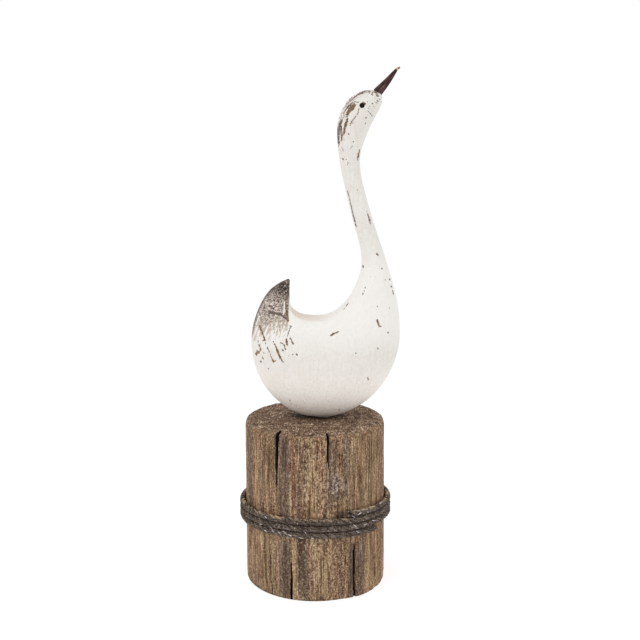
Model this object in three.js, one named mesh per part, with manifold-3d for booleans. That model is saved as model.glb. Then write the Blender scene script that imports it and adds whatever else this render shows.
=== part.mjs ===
// A carved wooden swan on a round weathered post with a rope wound round it.
// Millimetres, +Z up. The origin is the centre of the post's foot, on the floor.
// The swan looks towards +X, and Y = 0 is its plane of symmetry.

import * as THREE from 'three';
import { mergeVertices } from 'three/addons/utils/BufferGeometryUtils.js';
import Module from 'manifold-3d';

const wasm = await Module();
wasm.setup();

// Driving dimensions

const GAP = 0.3; // clearance between two pieces that touch

const POST = {
  height: 131,
  footRadius: 56.3,
  topRadius: 55.6,
  footRound: 1.2,
  topRound: 6,
  sides: 78,
  sideRings: 4,
  roundSteps: 3,
  fade: 6, // how quickly the side's unevenness dies away towards the middle of the two ends
};

// The log isn't quite round. Each bulge or worn place is widest at one angle, fades over "spread"
// degrees to both sides, and runs up from the foot to a height. Angles are seen from above and
// count from +X, so -90 degrees faces -Y.
const UNEVEN = [
  { degrees: -38, spread: 60, out: 1.3, height: 131 },
  { degrees: -50, spread: 36, out: 1.3, height: 20 },
  { degrees: -142, spread: 42, out: -1.2, height: 12 },
  { degrees: -84, spread: 26, out: -1.5, height: 9 },
  { degrees: 176, spread: 60, out: -0.6, height: 131 },
];

// The weather has worn the soft grain back in long furrows: count round the post, depth, phase,
// and how far the furrow drifts sideways on its way up.
const FURROWS = [
  { count: 5, depth: 0.3, phase: 0.4, drift: 0.3 },
  { count: 13, depth: 0.3, phase: 2.1, drift: -0.5 },
  { count: 29, depth: 0.35, phase: 4.4, drift: 0.7 },
];

// Drying cracks. A crack is widest at one height and runs out to a point above and below it.
const CRACKS = [
  { degrees: -121, bottom: 90, widest: 126, top: 134, width: 3.2, depth: 9 },
  { degrees: -80.3, bottom: 107, widest: 126, top: 133, width: 2.2, depth: 7 },
  { degrees: -108.7, bottom: -22, widest: 4, top: 29, width: 2.6, depth: 7 },
  { degrees: -58.8, bottom: -25, widest: 10, top: 39, width: 2.2, depth: 6 },
  { degrees: -20, bottom: 112, widest: 124, top: 133, width: 1.6, depth: 4 },
  { degrees: 62, bottom: 70, widest: 118, top: 140, width: 3.0, depth: 9 },
  { degrees: 148, bottom: -20, widest: 6, top: 46, width: 2.6, depth: 8 },
];

const ROPE = {
  diameter: 4.7,
  pitch: 5.25, // from one turn down to the next
  startDegrees: -65,
  turns: 3 + 27 / 360,
  startHeight: 65.4,
  frontLift: 4, // the winding rides higher on the front of the post
  sides: 8,
  stepsPerTurn: 32,
};

// Ribs of the swan, from the tail's tip to the seat of the bill. Each joins a point of the outer
// outline (tail's back, belly, breast, throat) to one of the inner outline (saddle, nape, crown).
// Heights count from the flat that the swan stands on. "half" is half the thickness of the rib,
// and "flat" half the width of the flat that was carved along its inner end.
const RIBS = [
  { outer: [-20.6, 109.3], inner: [-19.2, 108.3], half: 0.9, flat: 0.7 },
  { outer: [-27.8, 105.8], inner: [-19.4, 103.2], half: 4.2, flat: 3.5 },
  { outer: [-35.6, 99.8], inner: [-19.5, 96.8], half: 8.2, flat: 6.8 },
  { outer: [-45.6, 82.3], inner: [-18.3, 86.6], half: 15.2, flat: 11.8 },
  { outer: [-50.0, 55.6], inner: [-11.2, 80.4], half: 23.5, flat: 16 },
  { outer: [-39.7, 23.5], inner: [-3.6, 78.9], half: 29, flat: 16.5 },
  { outer: [-13.9, 2.0], inner: [2.4, 78.7], half: 31.6, flat: 16.5 },
  { outer: [19.0, 0.8], inner: [9.0, 79.6], half: 32, flat: 15.8 },
  { outer: [47.9, 18.3], inner: [17.0, 83.9], half: 29.2, flat: 13 },
  { outer: [65.2, 50.7], inner: [24.9, 92.0], half: 24, flat: 9 },
  { outer: [65.4, 86.0], inner: [31.6, 103.8], half: 17.4, flat: 4.8 },
  { outer: [56.5, 120.2], inner: [36.4, 122.8], half: 11.3, flat: 1.6 },
  { outer: [43.0, 160.2], inner: [27.8, 160.2], half: 8.2, flat: 0 },
  { outer: [34.3, 200.0], inner: [18.9, 199.0], half: 8.0, flat: 0 },
  { outer: [42.0, 224.4], inner: [17.3, 226.4], half: 9.5, flat: 0 },
  { outer: [49.9, 239.6], inner: [24.1, 243.4], half: 9.7, flat: 0 },
  { outer: [51.0, 246.0], inner: [36.4, 251.2], half: 6.9, flat: 0 },
  { outer: [50.3, 248.6], inner: [43.9, 251.5], half: 3.8, flat: 0 },
];

const SWAN = {
  along: 70, // rings from the tail to the bill
  around: 36,
  flatSteps: 3, // steps across half of the carved flat
  leastFlatAngle: 0.3,
  crown: 1.1, // how much the carved flat stands up in its middle
  mostCrownShare: 0.2, // of half the rib's length, where the ribs are short
};

const BILL = {
  seat: [47.0, 249.6], // centre of its base, in the swan's own heights
  degrees: 50, // above level
  length: 22.4, // to the chipped end, where bare wood shows
  tipLength: 2.8,
  tipDroop: 0.32, // sideways for each length, because the bare end leans forward
  bow: 0.35, // sideways in the middle, because its lower side is the fuller one
  baseRadius: 3.7,
  middleRadius: 2.6,
  tipRadius: 1.05,
  pegLength: 5,
  pegRadius: 2.6,
  sides: 16,
};

const EYE = {
  place: [35.3, 239.8],
  sideways: 9.0, // centre of the bead from the plane of symmetry
  radius: 1.8,
  sides: 10,
};

const COLOURS = {
  timber: 0x8a6d52,
  hemp: 0x433b35,
  paint: 0xe9e4df,
  bill: 0x3b2a26,
  eye: 0x0c0b0b,
};

// Between three.js geometry and manifold solids

function bare(geometry) {
  geometry.deleteAttribute('normal');
  geometry.deleteAttribute('uv');
  return mergeVertices(geometry, 1e-4);
}

function solidOf(geometry) {
  const merged = bare(geometry);
  return new wasm.Manifold(new wasm.Mesh({
    numProp: 3,
    vertProperties: new Float32Array(merged.attributes.position.array),
    triVerts: new Uint32Array(merged.index.array),
  }));
}

function geometryOf(solid) {
  const mesh = solid.getMesh();
  const geometry = new THREE.BufferGeometry();
  geometry.setAttribute('position', new THREE.BufferAttribute(mesh.vertProperties, mesh.numProp));
  geometry.setIndex(new THREE.BufferAttribute(mesh.triVerts, 1));
  geometry.computeVertexNormals();
  return geometry;
}

function piece(name, geometry, colour, roughness, metalness = 0) {
  const material = new THREE.MeshStandardMaterial({ color: colour, roughness, metalness });
  const mesh = new THREE.Mesh(geometry, material);
  mesh.name = name;
  return mesh;
}

// The post

function furrowDepth(angle, height) {
  let depth = 0;
  for (const furrow of FURROWS) {
    const lean = furrow.drift * height / POST.height;
    const wave = 0.5 + 0.5 * Math.cos(furrow.count * angle + furrow.phase + lean);
    depth += furrow.depth * wave;
  }
  return depth;
}

function unevenness(angle, height) {
  let out = 0;
  for (const place of UNEVEN) {
    const away = THREE.MathUtils.degToRad(place.degrees) - angle;
    const turned = Math.abs(Math.atan2(Math.sin(away), Math.cos(away)));
    const across = Math.max(0, 1 - turned / THREE.MathUtils.degToRad(place.spread));
    const along = Math.max(0, 1 - height / place.height);
    out += place.out * THREE.MathUtils.smoothstep(across, 0, 1) * along;
  }
  return out;
}

// The log's smooth radius, before its furrows.
function logRadius(angle, height) {
  const share = height / POST.height;
  return THREE.MathUtils.lerp(POST.footRadius, POST.topRadius, share) + unevenness(angle, height);
}

function roundedCorner(centreX, centreY, radius, from, to) {
  const points = [];
  for (let step = 0; step <= POST.roundSteps; step += 1) {
    const angle = THREE.MathUtils.degToRad(from + (to - from) * step / POST.roundSteps);
    points.push(new THREE.Vector2(
      centreX + radius * Math.cos(angle),
      centreY + radius * Math.sin(angle),
    ));
  }
  return points;
}

function postProfile() {
  const foot = POST.footRound;
  const top = POST.topRound;
  const profile = [new THREE.Vector2(0, 0)];
  profile.push(...roundedCorner(POST.footRadius - foot, foot, foot, -90, 0));
  for (let ring = 1; ring < POST.sideRings; ring += 1) {
    const share = ring / POST.sideRings;
    profile.push(new THREE.Vector2(
      THREE.MathUtils.lerp(POST.footRadius, POST.topRadius, share),
      THREE.MathUtils.lerp(foot, POST.height - top, share),
    ));
  }
  profile.push(...roundedCorner(POST.topRadius - top, POST.height - top, top, 0, 90));
  profile.push(new THREE.Vector2(0, POST.height));
  return profile;
}

function weather(geometry) {
  const position = geometry.attributes.position;
  for (let i = 0; i < position.count; i += 1) {
    const x = position.getX(i);
    const y = position.getY(i);
    const z = position.getZ(i);
    const radius = Math.hypot(x, y);
    const angle = Math.atan2(y, x);
    const outward = (radius / POST.footRadius) ** POST.fade;
    const shaped = radius + (unevenness(angle, z) - furrowDepth(angle, z)) * outward;
    const scale = radius > 0 ? shaped / radius : 1;
    position.setXY(i, x * scale, y * scale);
  }
}

// A blade with four faces, as long as the crack and pointed at both ends.
function crackBlade(crack) {
  const blade = new THREE.OctahedronGeometry(1);
  const position = blade.attributes.position;
  for (let i = 0; i < position.count; i += 1) {
    const up = position.getZ(i);
    const reach = up > 0 ? crack.top - crack.widest : crack.widest - crack.bottom;
    position.setXYZ(
      i,
      position.getX(i) * crack.depth,
      position.getY(i) * crack.width / 2,
      crack.widest + up * reach,
    );
  }
  blade.translate(THREE.MathUtils.lerp(POST.footRadius, POST.topRadius, 0.5), 0, 0);
  blade.rotateZ(THREE.MathUtils.degToRad(crack.degrees));
  return solidOf(blade);
}

function makePost() {
  const log = new THREE.LatheGeometry(postProfile(), POST.sides);
  log.rotateX(Math.PI / 2);
  weather(log);
  let solid = solidOf(log);
  for (const crack of CRACKS) {
    solid = solid.subtract(crackBlade(crack));
  }
  return piece('post', geometryOf(solid), COLOURS.timber, 0.85);
}

// The rope

class RopeRoute extends THREE.Curve {
  getPoint(share, target = new THREE.Vector3()) {
    const turned = share * ROPE.turns;
    const angle = THREE.MathUtils.degToRad(ROPE.startDegrees) + turned * 2 * Math.PI;
    const front = (1 + Math.cos(angle + Math.PI / 2)) / 2;
    const height = ROPE.startHeight - turned * ROPE.pitch + ROPE.frontLift * front ** 2;
    const radius = logRadius(angle, height - ROPE.diameter) + GAP + ROPE.diameter / 2;
    return target.set(radius * Math.cos(angle), radius * Math.sin(angle), height);
  }
}

function makeRope() {
  const section = new THREE.Shape();
  section.absarc(0, 0, ROPE.diameter / 2, 0, 2 * Math.PI);
  const geometry = new THREE.ExtrudeGeometry(section, {
    curveSegments: ROPE.sides / 2,
    steps: Math.round(ROPE.turns * ROPE.stepsPerTurn),
    bevelEnabled: false,
    extrudePath: new RopeRoute(),
  });
  return piece('rope', bare(geometry), COLOURS.hemp, 0.95);
}

// The swan

function ribCurve(key) {
  const points = RIBS.map((rib) => new THREE.Vector3(rib[key][0], 0, rib[key][1]));
  return new THREE.CatmullRomCurve3(points, false, 'centripetal');
}

const outerCurve = ribCurve('outer');
const innerCurve = ribCurve('inner');
const thicknessCurve = new THREE.CatmullRomCurve3(
  RIBS.map((rib, place) => new THREE.Vector3(place, rib.half, rib.flat)),
  false,
  'centripetal',
);

// The direction of a column, as an angle round the rib: 0 is the middle of the inner side.
// The carved flat keeps the same columns from end to end, so its edge stays crisp.
function columnAngle(column, flatAngle) {
  const halfWay = SWAN.around / 2;
  const side = column <= halfWay ? 1 : -1;
  const step = side > 0 ? column : SWAN.around - column;
  if (step <= SWAN.flatSteps) {
    return side * flatAngle * step / SWAN.flatSteps;
  }
  const rest = (step - SWAN.flatSteps) / (halfWay - SWAN.flatSteps);
  return side * THREE.MathUtils.lerp(flatAngle, Math.PI, rest);
}

// Where a rib's outline lies in a direction: an ellipse that is cut off by the crowned flat.
// Lengths are in half lengths of the rib, and thickness in half thicknesses.
function ribReach(angle, flatShare, crownShare) {
  const keep = Math.sqrt(1 - flatShare ** 2);
  const cut = -1 + crownShare;
  const centre = (keep + cut) / (1 + keep);
  const longAxis = 1 - centre;
  const along = -Math.cos(angle) / longAxis;
  const across = Math.sin(angle);
  const offset = centre / longAxis;
  const a = along ** 2 + across ** 2;
  const b = along * offset;
  const ellipse = (b + Math.sqrt(b ** 2 - a * (offset ** 2 - 1))) / a;
  if (Math.cos(angle) <= 0) {
    return ellipse;
  }
  const fromMiddle = flatShare > 0 ? Math.min(1, Math.abs(Math.tan(angle)) / flatShare) : 0;
  const flat = (1 - crownShare * fromMiddle ** 2) / Math.cos(angle);
  return Math.min(ellipse, flat);
}

function swanPoint(share, column, isPole) {
  const outer = outerCurve.getPoint(share);
  const inner = innerCurve.getPoint(share);
  const thickness = thicknessCurve.getPoint(share);
  const middle = outer.clone().add(inner).multiplyScalar(0.5);
  if (isPole) {
    return middle;
  }
  const half = thickness.y;
  const flatShare = Math.max(0, thickness.z) / half;
  const halfLength = outer.distanceTo(inner) / 2;
  const crownShare = Math.min(SWAN.mostCrownShare, SWAN.crown * flatShare / halfLength);
  const angle = columnAngle(column, Math.max(SWAN.leastFlatAngle, Math.atan(flatShare)));
  const reach = ribReach(angle, flatShare, crownShare);
  const direction = outer.clone().sub(inner).multiplyScalar(0.5);
  const point = middle.addScaledVector(direction, -Math.cos(angle) * reach);
  point.y = half * Math.sin(angle) * reach;
  return point;
}

// A ball's skin, with its rings moved onto the ribs and its two poles onto the tail's tip
// and the bill's seat.
function swanSkin() {
  const skin = new THREE.SphereGeometry(1, SWAN.around, SWAN.along);
  const position = skin.attributes.position;
  const uv = skin.attributes.uv;
  for (let i = 0; i < position.count; i += 1) {
    const ring = Math.round((1 - uv.getY(i)) * SWAN.along);
    const column = Math.round(uv.getX(i) * SWAN.around) % SWAN.around;
    const isPole = ring === 0 || ring === SWAN.along;
    const share = THREE.MathUtils.clamp((ring - 1) / (SWAN.along - 2), 0, 1);
    const point = swanPoint(share, column, isPole);
    position.setXYZ(i, point.x, point.y, point.z);
  }
  return skin;
}

// Everything below the swan's seat on the post, which leaves it a small flat to stand on.
function belowTheSwan() {
  const side = 2 * POST.footRadius;
  const slab = new THREE.BoxGeometry(2 * side, side, side);
  slab.translate(0, 0, -side / 2);
  return solidOf(slab);
}

function billProfile(extra) {
  const peg = BILL.pegLength + extra;
  const tip = BILL.tipRadius + extra;
  const end = BILL.length + BILL.tipLength + extra;
  return [
    new THREE.Vector2(0, -peg),
    new THREE.Vector2(BILL.pegRadius + extra, -peg),
    new THREE.Vector2(BILL.pegRadius + extra, -extra),
    new THREE.Vector2(BILL.baseRadius + extra, -extra),
    new THREE.Vector2(BILL.baseRadius + extra, GAP),
    new THREE.Vector2(BILL.middleRadius + extra, BILL.length / 2),
    new THREE.Vector2(tip, BILL.length),
    new THREE.Vector2(tip, end - tip),
    new THREE.Vector2(tip * Math.SQRT1_2, end - tip * (1 - Math.SQRT1_2)),
    new THREE.Vector2(0, end),
  ];
}

// The bill stands along its own +Z, and its +X side is the lower one once it is placed.
function billGeometry(extra) {
  const geometry = new THREE.LatheGeometry(billProfile(extra), BILL.sides);
  geometry.rotateX(Math.PI / 2);
  const position = geometry.attributes.position;
  for (let i = 0; i < position.count; i += 1) {
    const along = position.getZ(i);
    const arch = Math.sin(Math.PI * THREE.MathUtils.clamp(along / BILL.length, 0, 1));
    const beyond = Math.max(0, along - BILL.length);
    position.setX(i, position.getX(i) + BILL.bow * arch + beyond * BILL.tipDroop);
  }
  return geometry;
}

function placeBill(object) {
  object.position.set(BILL.seat[0], 0, BILL.seat[1]);
  object.rotation.y = THREE.MathUtils.degToRad(90 - BILL.degrees);
}

function eyeGeometry(extra) {
  return new THREE.SphereGeometry(EYE.radius + extra, EYE.sides, EYE.sides / 2);
}

function makeSwan() {
  let solid = solidOf(swanSkin());
  solid = solid.subtract(belowTheSwan());
  const placed = new THREE.Object3D();
  placeBill(placed);
  placed.updateMatrix();
  solid = solid.subtract(solidOf(billGeometry(GAP).applyMatrix4(placed.matrix)));
  for (const side of [1, -1]) {
    const socket = eyeGeometry(GAP);
    socket.translate(EYE.place[0], side * EYE.sideways, EYE.place[1]);
    solid = solid.subtract(solidOf(socket));
  }
  return piece('swan', geometryOf(solid), COLOURS.paint, 0.75);
}

function makeBill() {
  const bill = piece('bill', bare(billGeometry(0)), COLOURS.bill, 0.6);
  placeBill(bill);
  return bill;
}

function makeEye(name, side) {
  const eye = piece(name, bare(eyeGeometry(0)), COLOURS.eye, 0.25);
  eye.position.set(EYE.place[0], side * EYE.sideways, EYE.place[1]);
  return eye;
}

// The whole ornament

const figure = new THREE.Group();
figure.position.z = POST.height + GAP;
figure.add(makeSwan(), makeBill(), makeEye('eye_left', 1), makeEye('eye_right', -1));

const ornament = new THREE.Group();
ornament.add(makePost(), makeRope(), figure);

export default ornament;
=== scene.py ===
# %% [markdown]
# # A painted wooden swan on a weathered post
# This lesson dresses a small shelf ornament: a swan carved from one block, painted white and
# rubbed back to the wood, on a length of grey-brown log with a dark rope wound round it.
# The plain solids come in first. Each one is then replaced by a finer piece in the same place.

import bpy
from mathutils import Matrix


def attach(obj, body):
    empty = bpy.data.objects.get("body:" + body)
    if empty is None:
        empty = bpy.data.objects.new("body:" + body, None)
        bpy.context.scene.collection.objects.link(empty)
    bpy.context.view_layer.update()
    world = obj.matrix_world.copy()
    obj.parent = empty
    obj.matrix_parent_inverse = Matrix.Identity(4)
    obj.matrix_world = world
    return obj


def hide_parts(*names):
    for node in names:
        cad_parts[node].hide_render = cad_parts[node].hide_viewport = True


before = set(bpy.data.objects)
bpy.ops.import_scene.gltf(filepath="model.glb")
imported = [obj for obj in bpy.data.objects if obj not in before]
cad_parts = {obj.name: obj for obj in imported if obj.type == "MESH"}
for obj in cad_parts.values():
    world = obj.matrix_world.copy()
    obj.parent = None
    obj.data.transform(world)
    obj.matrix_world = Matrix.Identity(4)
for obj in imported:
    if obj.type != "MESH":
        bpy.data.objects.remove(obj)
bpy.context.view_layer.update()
print("solids:", sorted(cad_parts))

# %% Libraries, units and new objects
import math
import random

import bmesh
import bpy
from mathutils import Matrix, Vector, noise

MM = 0.001
BODY = "root"
SEAT_HEIGHT = 131.3 * MM  # the flat on the post's top that the swan stands over
GAP = 0.3 * MM  # the clearance that the solids keep where the real pieces touch
SEED = 7
MERGE_WITHIN = 0.01 * MM


def add_object(name, data):
    """Makes an object of a mesh, curve, lamp or camera, and puts it in the scene."""
    made = bpy.data.objects.new(name, data)
    bpy.context.scene.collection.objects.link(made)
    return made


print("one millimetre is", MM, "of the scene's units")

# %% [markdown]
# ## Camera
# The camera stands where the photographer stood: a little above the middle of the ornament and
# about 0.7 m away, looking down by less than ten degrees. Its focal length was measured in
# pixels of a square picture, and a lens in millimetres follows from that and the sensor width.

# %% Camera
PICTURE_PIXELS = 640
FOCAL_PIXELS = 922
SENSOR_WIDTH = 36
LOOK_DOWN = 0.1704  # radians below level
CAMERA_PLACE = Vector((4.08, -710.8, 330.2)) * MM

camera_data = bpy.data.cameras.new("camera")
camera_data.sensor_width = SENSOR_WIDTH
camera_data.lens = SENSOR_WIDTH * FOCAL_PIXELS / PICTURE_PIXELS
camera = add_object("camera", camera_data)
camera.location = CAMERA_PLACE
camera.rotation_euler = (math.pi / 2 - LOOK_DOWN, 0, 0)
bpy.context.scene.camera = camera
print("lens:", round(camera_data.lens, 2), "mm")

# %% [markdown]
# ## Tools for shapes
# Every new piece is a bmesh that operators shape, and it becomes an object at the very end.
# `dress` hands a finished mesh over: it names the piece, gives it its material, lets it ride on
# the one body there is, and says which plain solids it stands for.

# %% Tools for shapes
def mix(start, end, share):
    return start + (end - start) * share


def smooth(low, high, value):
    """0 below low, 1 above high, and an even S between them."""
    share = min(1, max(0, (value - low) / (high - low)))
    return share * share * (3 - 2 * share)


def rough(place, size, stretch=(1, 1, 1)):
    """Smooth noise from -1 to 1, with lumps of about that size, stretched along the axes."""
    scaled = Vector(axis / (size * longer) for axis, longer in zip(place, stretch))
    return noise.noise(scaled)


def chain(points):
    """A bmesh with one line of edges through points (radius, height)."""
    bm = bmesh.new()
    vertices = [bm.verts.new((radius, 0, height)) for radius, height in points]
    for pair in zip(vertices, vertices[1:]):
        bm.edges.new(pair)
    return bm


def turn(bm, steps):
    """Spins a line of edges all the way round +Z and closes it."""
    bmesh.ops.spin(
        bm, geom=bm.verts[:] + bm.edges[:], cent=(0, 0, 0), axis=(0, 0, 1),
        angle=2 * math.pi, steps=steps, use_merge=True,
    )
    bmesh.ops.remove_doubles(bm, verts=bm.verts, dist=MERGE_WITHIN)
    bmesh.ops.recalc_face_normals(bm, faces=bm.faces)


def arc(centre_radius, centre_height, radius, start, end, steps):
    """Points of a round corner, with its angles in degrees from level."""
    points = []
    for step in range(steps + 1):
        angle = math.radians(mix(start, end, step / steps))
        points.append((
            centre_radius + radius * math.cos(angle),
            centre_height + radius * math.sin(angle),
        ))
    return points


def dress(name, bm, materials, slot, *nodes):
    """Makes the bmesh an object that stands for the given solids."""
    mesh = bpy.data.meshes.new(name)
    for face in bm.faces:
        face.smooth = True
    bm.to_mesh(mesh)
    bm.free()
    for material in materials:
        mesh.materials.append(material)
    piece = add_object(name, mesh)
    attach(piece, BODY)
    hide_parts(*nodes)
    mesh.calc_loop_triangles()
    print(name, "has", len(mesh.loop_triangles), "triangles")


def applied(holder):
    """The mesh that an object shows once its bevel or modifiers are applied. The object goes."""
    depsgraph = bpy.context.evaluated_depsgraph_get()
    mesh = bpy.data.meshes.new_from_object(holder.evaluated_get(depsgraph))
    bpy.data.objects.remove(holder)
    return mesh


# %% [markdown]
# ## Tools for materials
# A shader graph is easier to read as maths. `Value` wraps one output of a node, so that
# `1 - mask` or `a * b` adds the Math node for it. `Finish` holds one material: its `node` method
# adds any other node, and the short methods after it cover the kinds that come up again and
# again, such as noise, a mix of two colours and a smooth step. Colours are given as a screen
# shows them, and `colour` turns them into the linear values that a shader works with.

# %% Tools for materials
MIX_FACTOR = 0
MIX_COLOUR_A = 6
MIX_COLOUR_B = 7
MIX_COLOUR_RESULT = 2


def colour(red, green, blue):
    """A screen colour, 0 to 255 a channel, as the linear colour that shaders use."""
    linear = []
    for channel in (red, green, blue):
        share = channel / 255
        linear.append(share / 12.92 if share <= 0.04045 else ((share + 0.055) / 1.055) ** 2.4)
    return (*linear, 1)


class Value:
    """One output of a node, with Python's operators."""

    def __init__(self, finish, output):
        self.finish = finish
        self.output = output

    def maths(self, operation, first, second):
        return self.finish.node("Math", {"operation": operation}, {0: first, 1: second})

    def __add__(self, other):
        return self.maths("ADD", self, other)

    def __sub__(self, other):
        return self.maths("SUBTRACT", self, other)

    def __rsub__(self, other):
        return self.maths("SUBTRACT", other, self)

    def __mul__(self, other):
        return self.maths("MULTIPLY", self, other)

    __radd__ = __add__
    __rmul__ = __mul__


class Finish:
    """One material, and the nodes that it is made of."""

    def __init__(self, name):
        self.material = bpy.data.materials.new(name)
        self.material.use_nodes = True
        self.tree = self.material.node_tree
        self.surface = self.tree.nodes["Principled BSDF"]
        self.place = self.node("TexCoord", {}, {}, "Object")

    def node(self, kind, settings, sockets, output=0):
        made = self.tree.nodes.new("ShaderNode" + kind)
        for key, setting in settings.items():
            if key == "stops":
                self.set_stops(made.color_ramp, setting)
            else:
                setattr(made, key, setting)
        for key, value in sockets.items():
            self.feed(made.inputs[key], value)
        return Value(self, made.outputs[output])

    def feed(self, socket, value):
        if isinstance(value, Value):
            self.tree.links.new(value.output, socket)
        else:
            socket.default_value = value

    def set_stops(self, ramp, stops):
        ramp.elements.remove(ramp.elements[1])
        for number, (position, *screen) in enumerate(stops):
            element = ramp.elements.new(position) if number else ramp.elements[0]
            element.position = position
            element.color = colour(*screen)

    def set(self, **sockets):
        """Sets or links the surface shader's sockets, named with _ for a space."""
        for key, value in sockets.items():
            self.feed(self.surface.inputs[key.replace("_", " ")], value)

    def grains(self, place, size, detail, roughness=0.5):
        """Noise with grains of about that size, at a place."""
        return self.node("TexNoise", {}, {
            "Vector": place, "Scale": 1 / size, "Detail": detail, "Roughness": roughness,
        }, "Fac")

    def noise(self, size, stretch=(1, 1, 1), turned=(0, 0, 0), detail=4, roughness=0.55):
        """Grains in the piece's own space, longer along the axes that stretch names."""
        squeezed = tuple(1 / longer for longer in stretch)
        place = self.place
        if any(turned):
            place = self.node("Mapping", {}, {"Vector": place, "Rotation": turned})
        place = self.node("Mapping", {}, {"Vector": place, "Scale": squeezed})
        return self.grains(place, size, detail, roughness)

    def step(self, value, low, high, to_low=0.0, to_high=1.0):
        """A smooth step of value, from to_low at low to to_high at high."""
        return self.node("MapRange", {"interpolation_type": "SMOOTHSTEP"}, {
            "Value": value, "From Min": low, "From Max": high,
            "To Min": to_low, "To Max": to_high,
        })

    def blend(self, first, second, share):
        return self.node("Mix", {"data_type": "RGBA"}, {
            MIX_FACTOR: share, MIX_COLOUR_A: first, MIX_COLOUR_B: second,
        }, MIX_COLOUR_RESULT)

    def ramp(self, value, *stops):
        """A colour that depends on value. Each stop is a position and a screen colour."""
        return self.node("ValToRGB", {"stops": stops}, {"Fac": value}, "Color")

    def attribute(self, name):
        return self.node("Attribute", {"attribute_name": name}, {}, "Fac")

    def larger(self, first, second):
        return self.node("Math", {"operation": "MAXIMUM"}, {0: first, 1: second})

    def product(self, first, second):
        """Two vectors or two colours, multiplied channel by channel."""
        return self.node("VectorMath", {"operation": "MULTIPLY"}, {0: first, 1: second})

    def length(self, vector):
        return self.node("VectorMath", {"operation": "LENGTH"}, {0: vector}, "Value")

    def axis(self, name):
        return self.node("SeparateXYZ", {}, {"Vector": self.place}, name)

    def bump(self, height, distance, strength=1.0):
        return self.node("Bump", {}, {
            "Height": height, "Distance": distance, "Strength": strength,
        })


print("a middle grey on the screen is", round(colour(128, 128, 128)[0], 3), "of white's light")

# %% [markdown]
# ## The log
# The post is a length of softwood log that stood outdoors. Weather eats the soft spring wood
# between the hard rings, so the side is covered in long ridges and grooves, and drying has
# opened cracks that run in from both ends. A turned shape gets this by spinning a profile with
# many columns and then moving its points, because the ridges have to be real: they break up
# the outline and catch light from every side. The same walk over the points also notes how
# deep each one lies and which stains cross it, for the material to read. The cracks and stains
# in front are where the photograph shows them, and a seeded loop adds the stains at the back.

# %% The log's size and its large unevenness
POST_HEIGHT = 131 * MM
FOOT_RADIUS = 56.3 * MM
TOP_RADIUS = 55.6 * MM
FOOT_ROUND = 1.2 * MM
TOP_ROUND = 6 * MM
COLUMNS = 600
SIDE_CUTS = 88
TOP_CUTS = 36
FOOT_CUTS = 3
FADE = 6  # how quickly the side's unevenness dies away towards the middle of both ends

# Each bulge or worn place: its angle and spread in degrees, how far out, and up to what height.
UNEVEN = [
    (-38, 60, 1.3 * MM, 131 * MM),
    (-50, 36, 1.3 * MM, 20 * MM),
    (-142, 42, -1.2 * MM, 12 * MM),
    (-84, 26, -1.5 * MM, 9 * MM),
    (176, 60, -0.6 * MM, 131 * MM),
]
# Long furrows: how many round the post, depth, phase, and sideways drift on the way up.
FURROWS = [
    (5, 0.3 * MM, 0.4, 0.3),
    (13, 0.3 * MM, 2.1, -0.5),
    (29, 0.35 * MM, 4.4, 0.7),
]


def turned_away(degrees, angle):
    """How far an angle lies from a direction in degrees, in radians with its sign."""
    away = angle - math.radians(degrees)
    return math.atan2(math.sin(away), math.cos(away))


def unevenness(angle, height):
    out = 0
    for degrees, spread, most, top in UNEVEN:
        across = 1 - abs(turned_away(degrees, angle)) / math.radians(spread)
        out += most * smooth(0, 1, across) * max(0, 1 - height / top)
    return out


def furrow_depth(angle, height):
    depth = 0
    for count, most, phase, drift in FURROWS:
        wave = math.cos(count * angle + phase + drift * height / POST_HEIGHT)
        depth += most * (0.5 + 0.5 * wave)
    return depth


def log_radius(angle, height):
    return mix(FOOT_RADIUS, TOP_RADIUS, height / POST_HEIGHT) + unevenness(angle, height)


print("the log is", round(2 * FOOT_RADIUS / MM, 1), "mm across at its foot")

# %% The log's cracks and stains
# Each crack: degrees at its widest point, lowest, widest and highest point, width, depth, and
# how many degrees it leans aside for each 10 mm down.
CRACKS = [
    (-121.5, 86, 126, 146, 4.2, 8, 0),
    (-79.4, 104, 127, 150, 2.2, 6, 0.1),
    (-108.7, -22, 4, 36, 2.3, 6, 0),
    (-57.4, 18, 34, 44, 2.3, 6, 0.2),
    (-57.6, -14, 6, 29, 2.4, 6, 0.2),
    (-20, 112, 124, 133, 1.6, 4, 0),
    (62, 70, 118, 140, 3.0, 8, 0.3),
    (148, -20, 6, 46, 2.6, 7, 0),
    (-130, 91, 95, 99, 0.9, 1, 0),
    (-147.5, 4, 10, 19, 0.9, 1, 0),
    (-126.5, -6, 2, 14, 0.8, 1, 0),
    (-38, 112, 118, 124, 0.8, 1, 0),
]
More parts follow.
